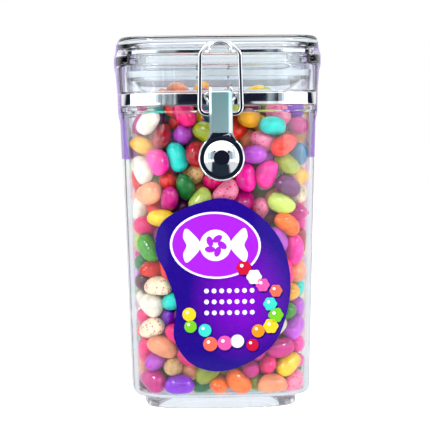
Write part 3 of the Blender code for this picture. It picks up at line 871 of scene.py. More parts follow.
def spoon_piece():
    """Turn the spoon's section about its own axis, which points to the front."""
    face = [(0.0, 0.0010), (0.0018, 0.0010), (0.0035, 0.00099), (0.0040, 0.00095)]
    face += [(0.0056, 0.00076), (0.0070, 0.00050), (0.0080, 0.00024), (0.0083, 0.0002)]
    face += [(0.0092, 0.0002), (0.0102, 0.0002)]
    rim = [(0.0104, 0.0004), (0.0107, 0.0003), (SPOON_RADIUS, -0.0002), (0.0105, -0.0008)]
    back = [(r, depth - LEVER_SHEET) for r, depth in reversed(face[1:-1])] + [(0.0, 0.0008)]
    section = smooth_line(face + rim + back, 4)
    shape = bmesh.new()
    steps = 72
    rings = []
    for radius, depth in section:
        if radius < 1e-6:
            rings.append([shape.verts.new((0.0, -depth, 0.0))])
            continue
        ring = []
        for step in range(steps):
            angle = math.tau * step / steps
            ring.append(shape.verts.new((radius * math.cos(angle), -depth, radius * math.sin(angle))))
        rings.append(ring)
    for inner, outer in zip(rings, rings[1:]):
        for step in range(steps):
            after = (step + 1) % steps
            if len(inner) == 1:
                shape.faces.new((inner[0], outer[step], outer[after]))
            elif len(outer) == 1:
                shape.faces.new((outer[0], inner[after], inner[step]))
            else:
                shape.faces.new((inner[step], outer[step], outer[after], inner[after]))
    bmesh.ops.translate(shape, vec=(0.0, SHEET_Y, SPOON_Z), verts=shape.verts)
    return new_piece("spoon", shape)


def smooth_line(points, steps):
    """An open curve through (x, y) points."""
    points = [Vector(point) for point in points]
    ends = [points[0]] + points + [points[-1]]
    curve = []
    for before, start, end, after in zip(ends, ends[1:], ends[2:], ends[3:]):
        for step in range(steps):
            t = step / steps
            bow = (2 * before - 5 * start + 4 * end - after) * t * t
            twist = (3 * start - before - 3 * end + after) * t**3
            spot = (2 * start + (end - before) * t + bow + twist) / 2
            curve.append((max(spot.x, 0.0), spot.y))
    curve.append(tuple(points[-1]))
    return curve


upright = Matrix(((0, 0, 1, 0), (1, 0, 0, 0), (0, 1, 0, 0), (0, 0, 0, 1)))
stem = plate(
    "stem", [stem_outline()], LEVER_SHEET,
    Matrix.Translation((0.0, SHEET_Y, 0.0)) @ Matrix.Rotation(math.pi / 2, 4, "X"),
)
pin_holes = [
    arc((PIVOT_Y, PIVOT_Z), (0.00105, 0.00105), 0, 345, 23),
    arc((PIN_Y, PIN_Z), (0.00145, 0.00145), 0, 345, 23),
]
ears = []
for side in (-1, 1):
    place = Matrix.Translation((side * (STEM_HALF - LEVER_SHEET / 2), 0.0, 0.0)) @ upright
    ears.append((plate("ear", [ear_outline(), *pin_holes], LEVER_SHEET, place), "UNION"))
lever = combine("pressed_lever", stem, ears + [(spoon_piece(), "UNION")])
soften = lever.modifiers.new("soften", "BEVEL")
soften.width = 0.00035
soften.segments = 3
soften.limit_method = "ANGLE"
soften.angle_limit = math.radians(50)
lever = curve_mesh("polished_lever", lever)
lever.data.materials.clear()
lever.data.materials.append(bright_steel)
attach(lever, "lever", "steel", "lever")

# %% Grind the stem's face, with a painted reflection in its colour
FACE_LEFT, FACE_FLAT, FACE_RIGHT = -0.0045, 0.0030, 0.0049
# Painted reflection: the face's steel is tinted teal, lighter at the bottom and darker towards the top, standing in
# for what the face mirrors
painted_reflection_steel = finish("painted_reflection_steel", (0.5, 0.8, 0.8), Metallic=1.0, Roughness=0.26)
stem_height = painted_reflection_steel.node_tree.nodes.new("ShaderNodeSeparateXYZ")
link(painted_reflection_steel, object_place(painted_reflection_steel), stem_height.inputs[0])
painted_reflection_fade = node(painted_reflection_steel, "ShaderNodeMapRange", From_Min=0.1330, From_Max=0.1500)
link(painted_reflection_steel, stem_height.outputs["Z"], painted_reflection_fade.inputs["Value"])
painted_reflection_tone = painted_reflection_steel.node_tree.nodes.new("ShaderNodeMix")
painted_reflection_tone.data_type = "RGBA"
painted_reflection_tone.inputs[6].default_value = (0.62, 0.93, 0.94, 1.0)
painted_reflection_tone.inputs[7].default_value = (0.35, 0.65, 0.68, 1.0)
link(painted_reflection_steel, painted_reflection_fade.outputs["Result"], painted_reflection_tone.inputs[0])
link(painted_reflection_steel, painted_reflection_tone.outputs[2], principled(painted_reflection_steel).inputs["Base Color"])
face_grid = bmesh.new()
columns = [FACE_LEFT, -0.0040, -0.0020, 0.0, FACE_FLAT]
columns += [FACE_FLAT + (FACE_RIGHT - FACE_FLAT) * share for share in (0.2, 0.4, 0.6, 0.8, 1.0)]
front_y = SHEET_Y - LEVER_SHEET / 2
rows = []
for z in (0.1316, 0.1380, 0.1450, FACE_TOP - 0.0004):
    row = []
    for x in columns:
        turn_in = max(x - FACE_FLAT, 0.0) / (FACE_RIGHT - FACE_FLAT)
        row.append(face_grid.verts.new((x, front_y - 0.0003 + 0.00038 * turn_in**2, z)))
    rows.append(row)
for low_row, high_row in zip(rows, rows[1:]):
    for k in range(len(columns) - 1):
        face_grid.faces.new((low_row[k], low_row[k + 1], high_row[k + 1], high_row[k]))
ground_face = new_piece("ground_face", face_grid)
ground_face.data.materials.append(painted_reflection_steel)
attach(ground_face, "lever", "steel")

# %% [markdown]
# ## Pouring the beans
# Beans in a jar lie in a jumble: each one touches its neighbours, and those at the wall
# lie against it. A small relaxation finds such a heap. Every bean is three overlapping
# balls in a slight bend. The beans start small and at random, grow to full size, push
# each other and the walls apart and sink a little at each step.

# %% Relax the heap
BEAN_COUNT = 950
POUR_STEPS = 520
BALL_SPACING = 0.00265
END_BALL = 0.00435
MIDDLE_BALL = 0.00470
SINK = 0.00001
BALLS = 3


def inner_half(height):
    share = (height - BASE_ROUND_TOP) / (LEDGE_BOTTOM - BASE_ROUND_TOP)
    return BASE_HALF - WALL - 0.0001 + (SHOULDER_HALF - BASE_HALF) * np.clip(share, 0.0, 1.0)


def keep_inside(balls, radii):
    """Move balls that reach through the wall or the floor back inside."""
    half = inner_half(balls[:, 2])
    room = half - radii
    centre = CORNER_CENTRE - (SHOULDER_HALF - WALL - half)
    for axis, other in ((0, 1), (1, 0)):
        bow = SIDE_BULGE * np.minimum((balls[:, other] / centre) ** 2, 1.0)
        balls[:, axis] = np.clip(balls[:, axis], bow - room, room - bow)
    past = np.maximum(np.abs(balls[:, :2]) - centre[:, None], 0.0)
    reach = np.hypot(past[:, 0], past[:, 1])
    corner = room - centre - SIDE_BULGE
    outside = (past.min(axis=1) > 0) & (reach > corner)
    back = np.where(outside, corner / np.maximum(reach, 1e-9), 1.0)
    for axis in (0, 1):
        moved = np.sign(balls[:, axis]) * (centre + past[:, axis] * back)
        balls[:, axis] = np.where(outside, moved, balls[:, axis])
    balls[:, 2] = np.maximum(balls[:, 2], FLOOR_TOP + radii)


def unit(vectors):
    return vectors / np.linalg.norm(vectors, axis=1)[:, None]


def pour(count, steps, seed):
    """Centres, long axes, bend directions and sizes of a settled heap of beans."""
    dice = np.random.default_rng(seed)
    centre = np.empty((count, 3))
    centre[:, :2] = dice.uniform(-0.036, 0.036, (count, 2))
    centre[:, 2] = dice.uniform(FLOOR_TOP + 0.006, 0.150, count)
    axis = unit(dice.normal(size=(count, 3)))
    bend = dice.normal(size=(count, 3))
    length = np.clip(dice.normal(1.0, 0.05, count), 0.88, 1.13)
    girth = np.clip(dice.normal(1.0, 0.035, count), 0.90, 1.10)
    along = np.outer(length, (-BALL_SPACING, 0.0, BALL_SPACING))
    radii = np.outer(girth, (END_BALL, MIDDLE_BALL, END_BALL))
    sag = np.array((-0.0004, 0.0002, -0.0004))
    reach = 2 * (along[:, 2] + radii[:, 1]).max() + 0.002
    for step in range(steps):
        grown = min(1.0, 0.62 + 0.76 * step / steps)
        bend = unit(bend - (bend * axis).sum(axis=1)[:, None] * axis)
        balls = centre[:, None] + axis[:, None] * (along * grown)[:, :, None]
        balls = (balls + bend[:, None] * sag[None, :, None]).reshape(-1, 3)
        sizes = (radii * grown).ravel()
        if step % 8 == 0:
            gap = ((centre[:, None] - centre[None]) ** 2).sum(axis=2)
            first, second = np.nonzero(np.triu(gap < reach**2, 1))
            one = (first[:, None] * BALLS + np.repeat(np.arange(BALLS), BALLS)).ravel()
            two = (second[:, None] * BALLS + np.tile(np.arange(BALLS), BALLS)).ravel()
        apart = balls[one] - balls[two]
        distance = np.sqrt((apart**2).sum(axis=1)) + 1e-12
        overlap = sizes[one] + sizes[two] - distance
        hit = overlap > 0
        a, b = one[hit], two[hit]
        push = apart[hit] / distance[hit][:, None] * (overlap[hit] * 0.5)[:, None]
        total = len(balls)
        touches = np.bincount(a, minlength=total) + np.bincount(b, minlength=total)
        ease = 0.9 / np.maximum(touches, 1) ** 0.3
        for k in range(3):
            shift = np.bincount(a, push[:, k], total) - np.bincount(b, push[:, k], total)
            balls[:, k] += shift * ease
        balls[:, 2] -= SINK
        keep_inside(balls, sizes)
        balls = np.round(balls, 7).reshape(count, BALLS, 3)
        centre = balls.mean(axis=1) - bend * sag.mean()
        axis = unit(balls[:, 2] - balls[:, 0])
        middle = balls[:, 1] - (balls[:, 0] + balls[:, 2]) / 2
        bend = bend + 0.5 * middle / MIDDLE_BALL
    return centre, axis, unit(bend - (bend * axis).sum(axis=1)[:, None] * axis), length, girth


centres, axes, bends, lengths, girths = pour(BEAN_COUNT, POUR_STEPS, 11)
print("beans", BEAN_COUNT, "heap up to", round(float(centres[:, 2].max()), 4))

# %% [markdown]
# Only the beans near the wall and at the top can be seen. The deep ones are left out, and
# a core of mixed colour fills the middle, so that no light shines through the heap. The core's colour is darkened as
# painted shade of the heap's inside.

# %% Keep the outer beans
KEEP_DEPTH = 0.021
CORE_INSET = 0.0150
from_wall = inner_half(centres[:, 2]) - np.abs(centres[:, :2]).max(axis=1)
from_top = centres[:, 2].max() - centres[:, 2]
from_floor = centres[:, 2] - FLOOR_TOP
shown = (from_wall < KEEP_DEPTH) | (from_top < KEEP_DEPTH) | (from_floor < 0.012)
print("shown beans", int(shown.sum()), "of", BEAN_COUNT)

core_top = 0.1330
core_shape = bmesh.new()
core_rings = []
for height in np.linspace(FLOOR_TOP + 0.006, core_top, 12):
    core_rings.append(
        [core_shape.verts.new(p) for p in outline(inner_half(height) - CORE_INSET, height)]
    )
core_shape.faces.new(core_rings[0])
core_shape.faces.new(core_rings[-1])
for lower, upper in zip(core_rings, core_rings[1:]):
    for index in range(len(lower)):
        after = (index + 1) % len(lower)
        core_shape.faces.new((lower[index], lower[after], upper[after], upper[index]))
core = new_piece("bean_core", core_shape)

deep_beans_painted_shade = finish("deep_beans_painted_shade", (0.2, 0.05, 0.05), Roughness=0.5)
cells = node(deep_beans_painted_shade, "ShaderNodeTexVoronoi", Scale=85.0)
link(deep_beans_painted_shade, object_place(deep_beans_painted_shade), cells.inputs["Vector"])
# Painted shade: the mixed bean colours are darkened to a quarter, because the inside of the heap lies in shade
shade = node(deep_beans_painted_shade, "ShaderNodeHueSaturation", Saturation=1.1, Value=0.25)
link(deep_beans_painted_shade, cells.outputs["Color"], shade.inputs["Color"])
link(deep_beans_painted_shade, shade.outputs["Color"], principled(deep_beans_painted_shade).inputs["Base Color"])
core.data.materials.append(deep_beans_painted_shade)
attach(core, BODY, "beans", "beans")

# %% [markdown]
# ## Bean shapes
# A jelly bean is a fat, slightly bent capsule, never quite the same twice. Four shapes
# with a different bend, taper and lumpiness are enough, because every bean is also turned
# and scaled on its own.

# %% Model four beans
BEAN_HALF = BALL_SPACING + END_BALL
BEAN_RINGS = 14
BEAN_SEGMENTS = 18
shape_box = bpy.data.collections.new("bean_shapes")
bpy.context.scene.collection.children.link(shape_box)


def bean_shape(name, bend, taper, lumps, seed):
    """Rings of points along X; the bean bends towards -Y and is a little flat in Z."""
    shape = bmesh.new()
    tips = []
    rings = []
    for ring_index in range(BEAN_RINGS + 1):
        turn = math.pi * ring_index / BEAN_RINGS
        along = -math.cos(turn)
        girth = MIDDLE_BALL * (1 - abs(along) ** 2.5) ** (1 / 2.15) * (1 + taper * along)
        middle = -bend * (along**2 - 0.35)
        if ring_index in (0, BEAN_RINGS):
            tips.append(shape.verts.new((BEAN_HALF * along, middle, 0.0)))
            continue
        ring = []
        for step in range(BEAN_SEGMENTS):
            angle = math.tau * step / BEAN_SEGMENTS
            lump = 1 + lumps * math.sin(2 * angle + seed) * math.sin(3 * turn + 2 * seed)
            y = middle + girth * 1.03 * lump * math.cos(angle)
            z = girth * 0.95 * lump * math.sin(angle)
            ring.append(shape.verts.new((BEAN_HALF * along, y, z)))
        rings.append(ring)
    for step in range(BEAN_SEGMENTS):
        after = (step + 1) % BEAN_SEGMENTS
        shape.faces.new((tips[0], rings[0][after], rings[0][step]))
        shape.faces.new((tips[1], rings[-1][step], rings[-1][after]))
        for left, right in zip(rings, rings[1:]):
            shape.faces.new((left[step], left[after], right[after], right[step]))
    bean = new_piece(name, shape, 80.0)
    bpy.context.scene.collection.objects.unlink(bean)
    shape_box.objects.link(bean)
    return bean


for index, (bend, taper, lumps) in enumerate(
    ((0.0009, 0.03, 0.02), (0.0014, -0.05, 0.03), (0.0005, 0.08, 0.025), (0.0011, 0.0, 0.04))
):
    bean_shape(f"bean_{index}", bend, taper, lumps, index * 1.7)

# %% [markdown]
# ## Flavours
# Every flavour has its colour, and some are speckled. The candy shell is polished but not
# perfectly even: its colour drifts a little over each bean and from bean to bean, and a
# clear glaze lies over it. A trace of light goes into the shell and lifts the colour.

# %% Colours of the beans
# name: (colour, speckle colour or None, share of all beans)
FLAVOURS = {
    "plum": ((104, 20, 92), None, 4),
    "violet": ((128, 36, 190), None, 4),
    "hot_pink": ((238, 4, 110), None, 6),
    "pink": ((242, 84, 160), None, 6),
    "pale_pink": ((246, 150, 176), (226, 40, 90), 6),
    "peach": ((246, 164, 128), None, 7),
    "coral": ((244, 92, 84), None, 6),
    "tomato": ((222, 40, 14), None, 5),
    "deep_red": ((168, 4, 26), None, 4),
    "tangerine": ((248, 112, 4), (214, 50, 6), 6),
    "golden": ((238, 164, 2), None, 5),
    "yellow": ((250, 200, 18), None, 5),
    "olive": ((146, 158, 8), None, 4),
    "pale_lime": ((196, 212, 112), None, 4),
    "grass": ((64, 152, 20), None, 5),
    "emerald": ((6, 112, 44), None, 3),
    "aqua": ((70, 205, 190), None, 2),
    "teal": ((8, 104, 140), None, 2),
    "cream": ((238, 220, 184), (190, 20, 110), 3),
    "ivory": ((236, 226, 206), None, 4),
    "beige": ((214, 176, 126), (160, 100, 50), 2),
    "lilac": ((190, 96, 200), None, 3),
    "magenta": ((196, 2, 122), None, 7),
    "maroon": ((78, 18, 30), None, 2),
    "slate": ((60, 92, 128), None, 1),
}


def shell_finish(name, colour, speckle):
    base = tuple(value * 0.88 for value in linear(*colour))
    made = finish(
        name, base, Coat_Weight=0.9, Coat_Roughness=0.05, Coat_IOR=1.60, Specular_IOR_Level=0.10,
        Subsurface_Weight=0.30, Subsurface_Scale=0.0018,
    )
    shader = principled(made)
    shader.inputs["Subsurface Radius"].default_value = (1.0, 0.7, 0.5)
    deep = tuple(value * 0.72 for value in base)
    drift = node(made, "ShaderNodeTexNoise", Scale=190.0, Detail=2.0)
    link(made, object_place(made), drift.inputs["Vector"])
    blend = made.node_tree.nodes.new("ShaderNodeMix")
    blend.data_type = "RGBA"
    blend.inputs[6].default_value = (*deep, 1.0)
    blend.inputs[7].default_value = (*base, 1.0)
    widen = node(made, "ShaderNodeMapRange", From_Min=0.35, From_Max=0.6)
    link(made, drift.outputs["Fac"], widen.inputs["Value"])
    link(made, widen.outputs["Result"], blend.inputs[0])
    colour_out = blend.outputs[2]
    if speckle:
        spots = node(made, "ShaderNodeTexVoronoi", Scale=620.0)
        link(made, object_place(made), spots.inputs["Vector"])
        near = node(made, "ShaderNodeMapRange", From_Min=0.22, From_Max=0.34, To_Min=0.85, To_Max=0.0)
        link(made, spots.outputs["Distance"], near.inputs["Value"])
        dotted = made.node_tree.nodes.new("ShaderNodeMix")
        dotted.data_type = "RGBA"
        dotted.inputs[7].default_value = (*linear(*speckle), 1.0)
        link(made, near.outputs["Result"], dotted.inputs[0])
        link(made, colour_out, dotted.inputs[6])
        colour_out = dotted.outputs[2]
    tone = made.node_tree.nodes.new("ShaderNodeAttribute")
    tone.attribute_name = "tone"
    level = node(made, "ShaderNodeHueSaturation", Saturation=1.12)
    link(made, tone.outputs["Fac"], level.inputs["Value"])
    link(made, colour_out, level.inputs["Color"])
    link(made, level.outputs["Color"], shader.inputs["Base Color"])
    rough_noise(made, 260.0, 0.36, 0.50)
    noise_bump(made, 420.0, 0.00006)
    return made


print("flavours", len(FLAVOURS))

# %% [markdown]
# ## Setting the beans in place
# Geometry Nodes put a bean on every point. A point carries the bean's turn, its size,
# which of the four shapes it has and how light its colour is. The tree ends in real
# geometry with its material, and the result is kept as a plain mesh, one for each flavour.

# %% The pouring tree
def pouring_tree():
    tree = bpy.data.node_groups.new("pour_beans", "GeometryNodeTree")
    sockets = tree.interface
    sockets.new_socket("Geometry", in_out="INPUT", socket_type="NodeSocketGeometry")
    sockets.new_socket("Shapes", in_out="INPUT", socket_type="NodeSocketCollection")
    sockets.new_socket("Finish", in_out="INPUT", socket_type="NodeSocketMaterial")
    plump = sockets.new_socket("Plumpness", in_out="INPUT", socket_type="NodeSocketFloat")
    plump.default_value = 1.0
    sockets.new_socket("Geometry", in_out="OUTPUT", socket_type="NodeSocketGeometry")
    add = tree.nodes.new
    start = add("NodeGroupInput")
    end = add("NodeGroupOutput")
    shapes = add("GeometryNodeCollectionInfo")
    shapes.inputs["Separate Children"].default_value = True
    shapes.inputs["Reset Children"].default_value = True
    place = add("GeometryNodeInstanceOnPoints")
    place.inputs["Pick Instance"].default_value = True
    values = {}
    for name, kind in (("turn", "QUATERNION"), ("size", "FLOAT_VECTOR"), ("shape", "INT")):
        values[name] = add("GeometryNodeInputNamedAttribute")
        values[name].data_type = kind
        values[name].inputs["Name"].default_value = name
    scale = add("ShaderNodeVectorMath")
    scale.operation = "SCALE"
    real = add("GeometryNodeRealizeInstances")
    coat = add("GeometryNodeSetMaterial")
    join = tree.links.new
    join(start.outputs["Geometry"], place.inputs["Points"])
    join(start.outputs["Shapes"], shapes.inputs["Collection"])
    join(shapes.outputs[0], place.inputs["Instance"])
    join(values["shape"].outputs["Attribute"], place.inputs["Instance Index"])
    join(values["turn"].outputs["Attribute"], place.inputs["Rotation"])
    join(values["size"].outputs["Attribute"], scale.inputs[0])
    join(start.outputs["Plumpness"], scale.inputs["Scale"])
    join(scale.outputs["Vector"], place.inputs["Scale"])
    join(place.outputs["Instances"], real.inputs["Geometry"])
    join(real.outputs["Geometry"], coat.inputs["Geometry"])
    join(start.outputs["Finish"], coat.inputs["Material"])
    join(coat.outputs["Geometry"], end.inputs["Geometry"])
    return tree


pour_beans = pouring_tree()
socket_of = {
    item.name: item.identifier
    for item in pour_beans.interface.items_tree
    if item.in_out == "INPUT"
}
print("tree inputs", list(socket_of))

# %% Points with their attributes
bean_dice = np.random.default_rng(23)
weights = np.array([share for _, _, share in FLAVOURS.values()], dtype=float)
flavour_of = bean_dice.choice(len(FLAVOURS), BEAN_COUNT, p=weights / weights.sum())
shape_of = bean_dice.integers(0, 4, BEAN_COUNT)
tone_of = np.clip(bean_dice.normal(1.0, 0.06, BEAN_COUNT), 0.85, 1.15)


def bean_turn(index):
    """The rotation that takes a bean's own X and Y to its axis and bend."""
    along = Vector(axes[index])
    side = Vector(bends[index])
    flat = along.cross(side)
    return Matrix((along, side, flat)).transposed().to_quaternion()


def flavour_piece(name, chosen, made):
    mesh = bpy.data.meshes.new(name)
    mesh.from_pydata([tuple(centres[i]) for i in chosen], [], [])
    kinds = {"turn": "QUATERNION", "size": "FLOAT_VECTOR", "shape": "INT", "tone": "FLOAT"}
    for attribute, kind in kinds.items():
        mesh.attributes.new(attribute, kind, "POINT")
    held = mesh.attributes
    for spot, index in enumerate(chosen):
        held["turn"].data[spot].value = bean_turn(index)
        held["size"].data[spot].vector = (lengths[index], girths[index], girths[index])
        held["shape"].data[spot].value = int(shape_of[index])
        held["tone"].data[spot].value = float(tone_of[index])
    points = bpy.data.objects.new(name, mesh)
    bpy.context.scene.collection.objects.link(points)
    pouring = points.modifiers.new("pouring", "NODES")
    pouring.node_group = pour_beans
    pouring[socket_of["Shapes"]] = shape_box
    pouring[socket_of["Finish"]] = made
    pouring[socket_of["Plumpness"]] = 1.0
    bpy.context.view_layer.update()
    evaluated = points.evaluated_get(bpy.context.evaluated_depsgraph_get())
    result = bpy.data.meshes.new_from_object(evaluated)
    bpy.data.objects.remove(points, do_unlink=True)
    result.shade_smooth()
    piece = bpy.data.objects.new("beans_" + name, result)
    bpy.context.scene.collection.objects.link(piece)
    return piece


for flavour_index, (name, (colour, speckle, _)) in enumerate(FLAVOURS.items()):
    chosen = [i for i in range(BEAN_COUNT) if flavour_of[i] == flavour_index and shown[i]]
    piece = flavour_piece(name, chosen, shell_finish("shell_" + name, colour, speckle))
    attach(piece, BODY, "beans", "beans")
for bean in list(shape_box.objects):
    bpy.data.objects.remove(bean, do_unlink=True)
bpy.data.collections.remove(shape_box)

# %% [markdown]
# ## Label
# The label is a printed film in the shape of a kidney, which follows the slight curve of
# the jar's front. Its ground runs from deep indigo at the rim to a brighter violet, with a
# generic print: an oval panel with a wrapped sweet, and a sweep of round sweets.

# %% Label surface
LABEL_OUTLINE = (
    (-0.0022, 0.1007), (0.0130, 0.0960), (0.0260, 0.0835), (0.0318, 0.0680),
    (0.0316, 0.0500), (0.0235, 0.0305), (0.0030, 0.0192), (-0.0140, 0.0218),
    (-0.0230, 0.0345), (-0.0218, 0.0503), (-0.0262, 0.0645), (-0.0312, 0.0773),
    (-0.0262, 0.0915),
)


def front_depth(x, height):
    half = wall_half(height)
    centre = corner_centre(half, height)
    radius = half - centre - SIDE_BULGE
    if abs(x) <= centre:
        return half - SIDE_BULGE * (x / centre) ** 2
    return centre + math.sqrt(radius**2 - (abs(x) - centre) ** 2)


def on_front(x, z, lift):
    return Vector((x, -front_depth(x, z) - lift, z))


def smooth_loop(points, steps):
    curve = []
    count = len(points)
    for index in range(count):
        before, start, end, after = (
            Vector(points[(index + shift) % count]) for shift in (-1, 0, 1, 2)
        )
        for step in range(steps):
            t = step / steps
            bow = (2 * before - 5 * start + 4 * end - after) * t * t
            twist = (3 * start - before - 3 * end + after) * t**3
            curve.append((2 * start + (end - before) * t + bow + twist) / 2)
    return curve


def film(shape, edge, low, high, rings):
    """A thin closed sheet on the jar's front, between two heights above the wall."""
    middle = sum((Vector(point) for point in edge), Vector((0.0, 0.0))) / len(edge)
    shells = []
    for lift in (low, high):
        hub = shape.verts.new(on_front(middle.x, middle.y, lift))
        levels = []
        for ring_index in range(1, rings + 1):
            share = ring_index / rings
            level = []
            for point in edge:
                x, z = middle.lerp(Vector(point), share)
                level.append(shape.verts.new(on_front(x, z, lift)))
            levels.append(level)
        shells.append((hub, levels))
    faces = []
    for hub, levels in shells:
        for index in range(len(edge)):
            after = (index + 1) % len(edge)
            faces.append(shape.faces.new((hub, levels[0][index], levels[0][after])))
            for inner, outer in zip(levels, levels[1:]):
                faces.append(
                    shape.faces.new((inner[index], outer[index], outer[after], inner[after]))
                )
    back, front = shells[0][1][-1], shells[1][1][-1]
    for index in range(len(edge)):
        after = (index + 1) % len(edge)
        faces.append(shape.faces.new((back[index], back[after], front[after], front[index])))
    return faces


label_shape = bmesh.new()
film(label_shape, smooth_loop(LABEL_OUTLINE, 10), 0.00004, 0.00042, 10)
label = new_piece("label_film", label_shape)

INDIGO = linear(30, 8, 108)
VIOLET = linear(112, 8, 170)
PANEL = linear(136, 30, 196)
label_print = finish("label_print", INDIGO, Coat_Weight=0.25, Coat_Roughness=0.05, Specular_IOR_Level=0.05)
glow_place = object_place(label_print, (1 / 0.025, 0.0, 1 / 0.032), (-0.35, 0.0, -1.68))
glow = label_print.node_tree.nodes.new("ShaderNodeTexGradient")
glow.gradient_type = "SPHERICAL"
link(label_print, glow_place, glow.inputs["Vector"])
ground = label_print.node_tree.nodes.new("ShaderNodeMix")
ground.data_type = "RGBA"
ground.inputs[6].default_value = (*INDIGO, 1.0)
ground.inputs[7].default_value = (*VIOLET, 1.0)
link(label_print, glow.outputs["Fac"], ground.inputs[0])
link(label_print, ground.outputs[2], principled(label_print).inputs["Base Color"])
rough_noise(label_print, 160.0, 0.22, 0.32)
label.data.materials.append(label_print)
attach(label, BODY, "label", "label")

# %% [markdown]
# ## Print on the label
# The print is built from flat shapes that lie on the film like ink: rings, petals and
# discs drawn by a radius that changes with the angle.

# %% Flat printed shapes
def ink(name, colour, **values):
    made = finish(name, colour, Coat_Weight=0.25, Coat_Roughness=0.05, Specular_IOR_Level=0.05, **values)
    rough_noise(made, 160.0, 0.24, 0.34)
    return made


def blob(centre, radius, lobes=0, depth=0.0, turn=0.0, squeeze=1.0, steps=48):
    """A closed outline whose radius swells in lobes."""
    points = []
    for step in range(steps):
        angle = math.tau * step / steps
        reach = radius * (1 + depth * math.cos(lobes * angle))
        x = reach * math.cos(angle) * squeeze
        z = reach * math.sin(angle)
        c, s = math.cos(turn), math.sin(turn)
        points.append((centre[0] + c * x - s * z, centre[1] + s * x + c * z))
    return points


def printed(name, outlines, layer, made):
    """Join flat shapes of one ink into one thin piece."""
    shape = bmesh.new()
    base = 0.00042 + 0.00002 * layer
    for edge in outlines:
        film(shape, edge, base - 0.00003, base + 0.00002, 3)
    piece = new_piece(name, shape)
    piece.data.materials.append(made)
    return attach(piece, BODY, "label")


PANEL_CENTRE = (-0.0030, 0.0786)
pale_ink = ink("pale_ink", linear(214, 206, 226))
panel_ink = ink("panel_ink", PANEL)
printed("panel_edge", [blob(PANEL_CENTRE, 0.0158, squeeze=1.36, turn=-0.05)], 1, pale_ink)
printed("panel", [blob(PANEL_CENTRE, 0.0149, squeeze=1.37, turn=-0.05)], 2, panel_ink)

sweet_centre = PANEL_CENTRE
wrapped = [blob(sweet_centre, 0.0074)]
for side in (-1, 1):
    fan = [(sweet_centre[0] + side * x, sweet_centre[1] + z) for x, z in (
        (0.0068, 0.0), (0.0116, 0.0066), (0.0142, 0.0078), (0.0152, 0.0040), (0.0136, 0.0),
        (0.0152, -0.0040), (0.0142, -0.0078), (0.0116, -0.0066),
    )]
    wrapped.append(smooth_loop(fan, 5))
printed("wrapped_sweet", wrapped, 3, pale_ink)
printed(
    "sweet_swirl",
    [blob((sweet_centre[0] + 0.0032 * math.cos(a), sweet_centre[1] + 0.0032 * math.sin(a)),
          0.0025, squeeze=0.62, turn=a + 0.9) for a in (k * math.tau / 5 for k in range(5))],
    4, panel_ink,
)

# %% Printed sweets
SWEET_COLOURS = (
    (252, 214, 44), (120, 205, 40), (64, 220, 205), (246, 108, 86), (236, 90, 170),
    (245, 242, 236), (206, 24, 60), (250, 150, 30),
)
sweet_inks = [ink(f"sweet_ink_{i}", tuple(0.62 * v for v in linear(*c))) for i, c in enumerate(SWEET_COLOURS)]
shade_ink = ink("shade_ink", linear(24, 8, 84))
shine_ink = ink("shine_ink", (0.95, 0.95, 0.95))
sweets = []
for step in range(15):
    angle = math.radians(190 + 17.5 * step)
    wobble = 0.0024 * math.sin(2.4 * step)
    x = 0.0044 + (0.0205 + wobble) * math.cos(angle)
    z = 0.0490 + (0.0175 + wobble) * math.sin(angle)
    sweets.append((x, z, 0.0032 + 0.0003 * math.sin(5.0 * step)))
printed("sweet_shade", [blob((x + 0.0004, z - 0.0006), r * 1.06) for x, z, r in sweets], 1, shade_ink)
for ink_index, made in enumerate(sweet_inks):
    mine = [s for i, s in enumerate(sweets) if i % len(sweet_inks) == ink_index]
    outlines = [
        blob((x, z), r, lobes=6 * (i % 2), depth=0.07 * (i % 2)) for i, (x, z, r) in enumerate(mine)
    ]
    printed(f"sweets_{ink_index}", outlines, 2, made)
printed("sweet_shine", [blob((x - 0.0009, z + 0.0010), r * 0.22) for x, z, r in sweets], 3, shine_ink)

dots = [blob((-0.0075 + 0.0036 * k, 0.0570 - 0.0052 * row), 0.0011) for k in range(7) for row in range(3)]
printed("dot_rows", dots, 1, pale_ink)

# %% [markdown]
# ## Seals
# A strip of violet film runs over each side of the lid, down the neck and onto the wall.
# It is thin and lets light through. Its outline in side view is a band around the same
# profile as the jar, a hair away from it.

# %% Fold the seals
SEAL_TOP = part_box("seal_right")[1][2]
SEAL_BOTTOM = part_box("seal_right")[0][2]
SEAL_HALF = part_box("seal_right")[1][1]
SEAL_WRAP = 30.0
seal_film = finish("seal_film", linear(120, 62, 184), Roughness=0.25, Alpha=0.42)
rough_noise(seal_film, 240.0, 0.18, 0.3)


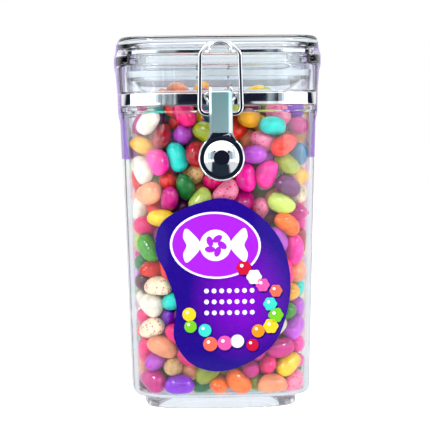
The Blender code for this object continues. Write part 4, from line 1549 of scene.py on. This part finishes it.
def seal_plan(half, height):
    """Half the plan line that a strip covers, from its back edge round the front corner."""
    centre = corner_centre(half, height)
    radius = half - centre - SIDE_BULGE
    plan = []
    for y in np.linspace(SEAL_HALF, -centre, 8):
        plan.append((half - SIDE_BULGE * (y / centre) ** 2, y))
    wrap = np.interp(height, (0.130, 0.146), (SEAL_WRAP, 8.0))
    for angle in np.radians(np.linspace(2, wrap, 8)):
        plan.append((centre + radius * math.cos(angle), -centre - radius * math.sin(angle)))
    return plan


def fold_seal(name, side):
    line = bent_path(
        [
            (LID_HALF, SEAL_TOP, 0), (LID_HALF + 0.0002, GROOVE_TOP, 0),
            (FLANGE_HALF, GROOVE_BOTTOM, 0), (FLANGE_HALF, FLANGE_BOTTOM, 0),
            (0.0493, RIM_TOP - 0.003, 0), (BAND_HALF + 0.0002, BAND_TOP + 0.0004, 0),
            (BAND_HALF, LEDGE_BOTTOM, 0), (wall_half(0.137), 0.137, 0),
            (wall_half(SEAL_BOTTOM), SEAL_BOTTOM, 0),
        ],
        [0.0008] * 7,
        steps=4,
    )
    shape = bmesh.new()
    grids = []
    for shift in (0.00010, 0.00030):
        grids.append([
            [shape.verts.new((side * x, y, p.y)) for x, y in seal_plan(p.x + shift, p.y)] for p in line
        ])
    inner, outer = grids
    rows, columns = len(line), len(inner[0])
    for grid in grids:
        for r in range(rows - 1):
            for c in range(columns - 1):
                shape.faces.new((grid[r][c], grid[r][c + 1], grid[r + 1][c + 1], grid[r + 1][c]))
    rim = [(r, 0) for r in range(rows)] + [(rows - 1, c) for c in range(1, columns)]
    rim += [(r, columns - 1) for r in range(rows - 2, -1, -1)]
    rim += [(0, c) for c in range(columns - 2, 0, -1)]
    for (r, c), (nr, nc) in zip(rim, rim[1:] + rim[:1]):
        shape.faces.new((inner[r][c], inner[nr][nc], outer[nr][nc], outer[r][c]))
    piece = new_piece(name, shape)
    piece.data.materials.append(seal_film)
    return piece


attach(fold_seal("left_seal", -1), BODY, "seal", "seal_left")
attach(fold_seal("right_seal", 1), BODY, "seal", "seal_right")
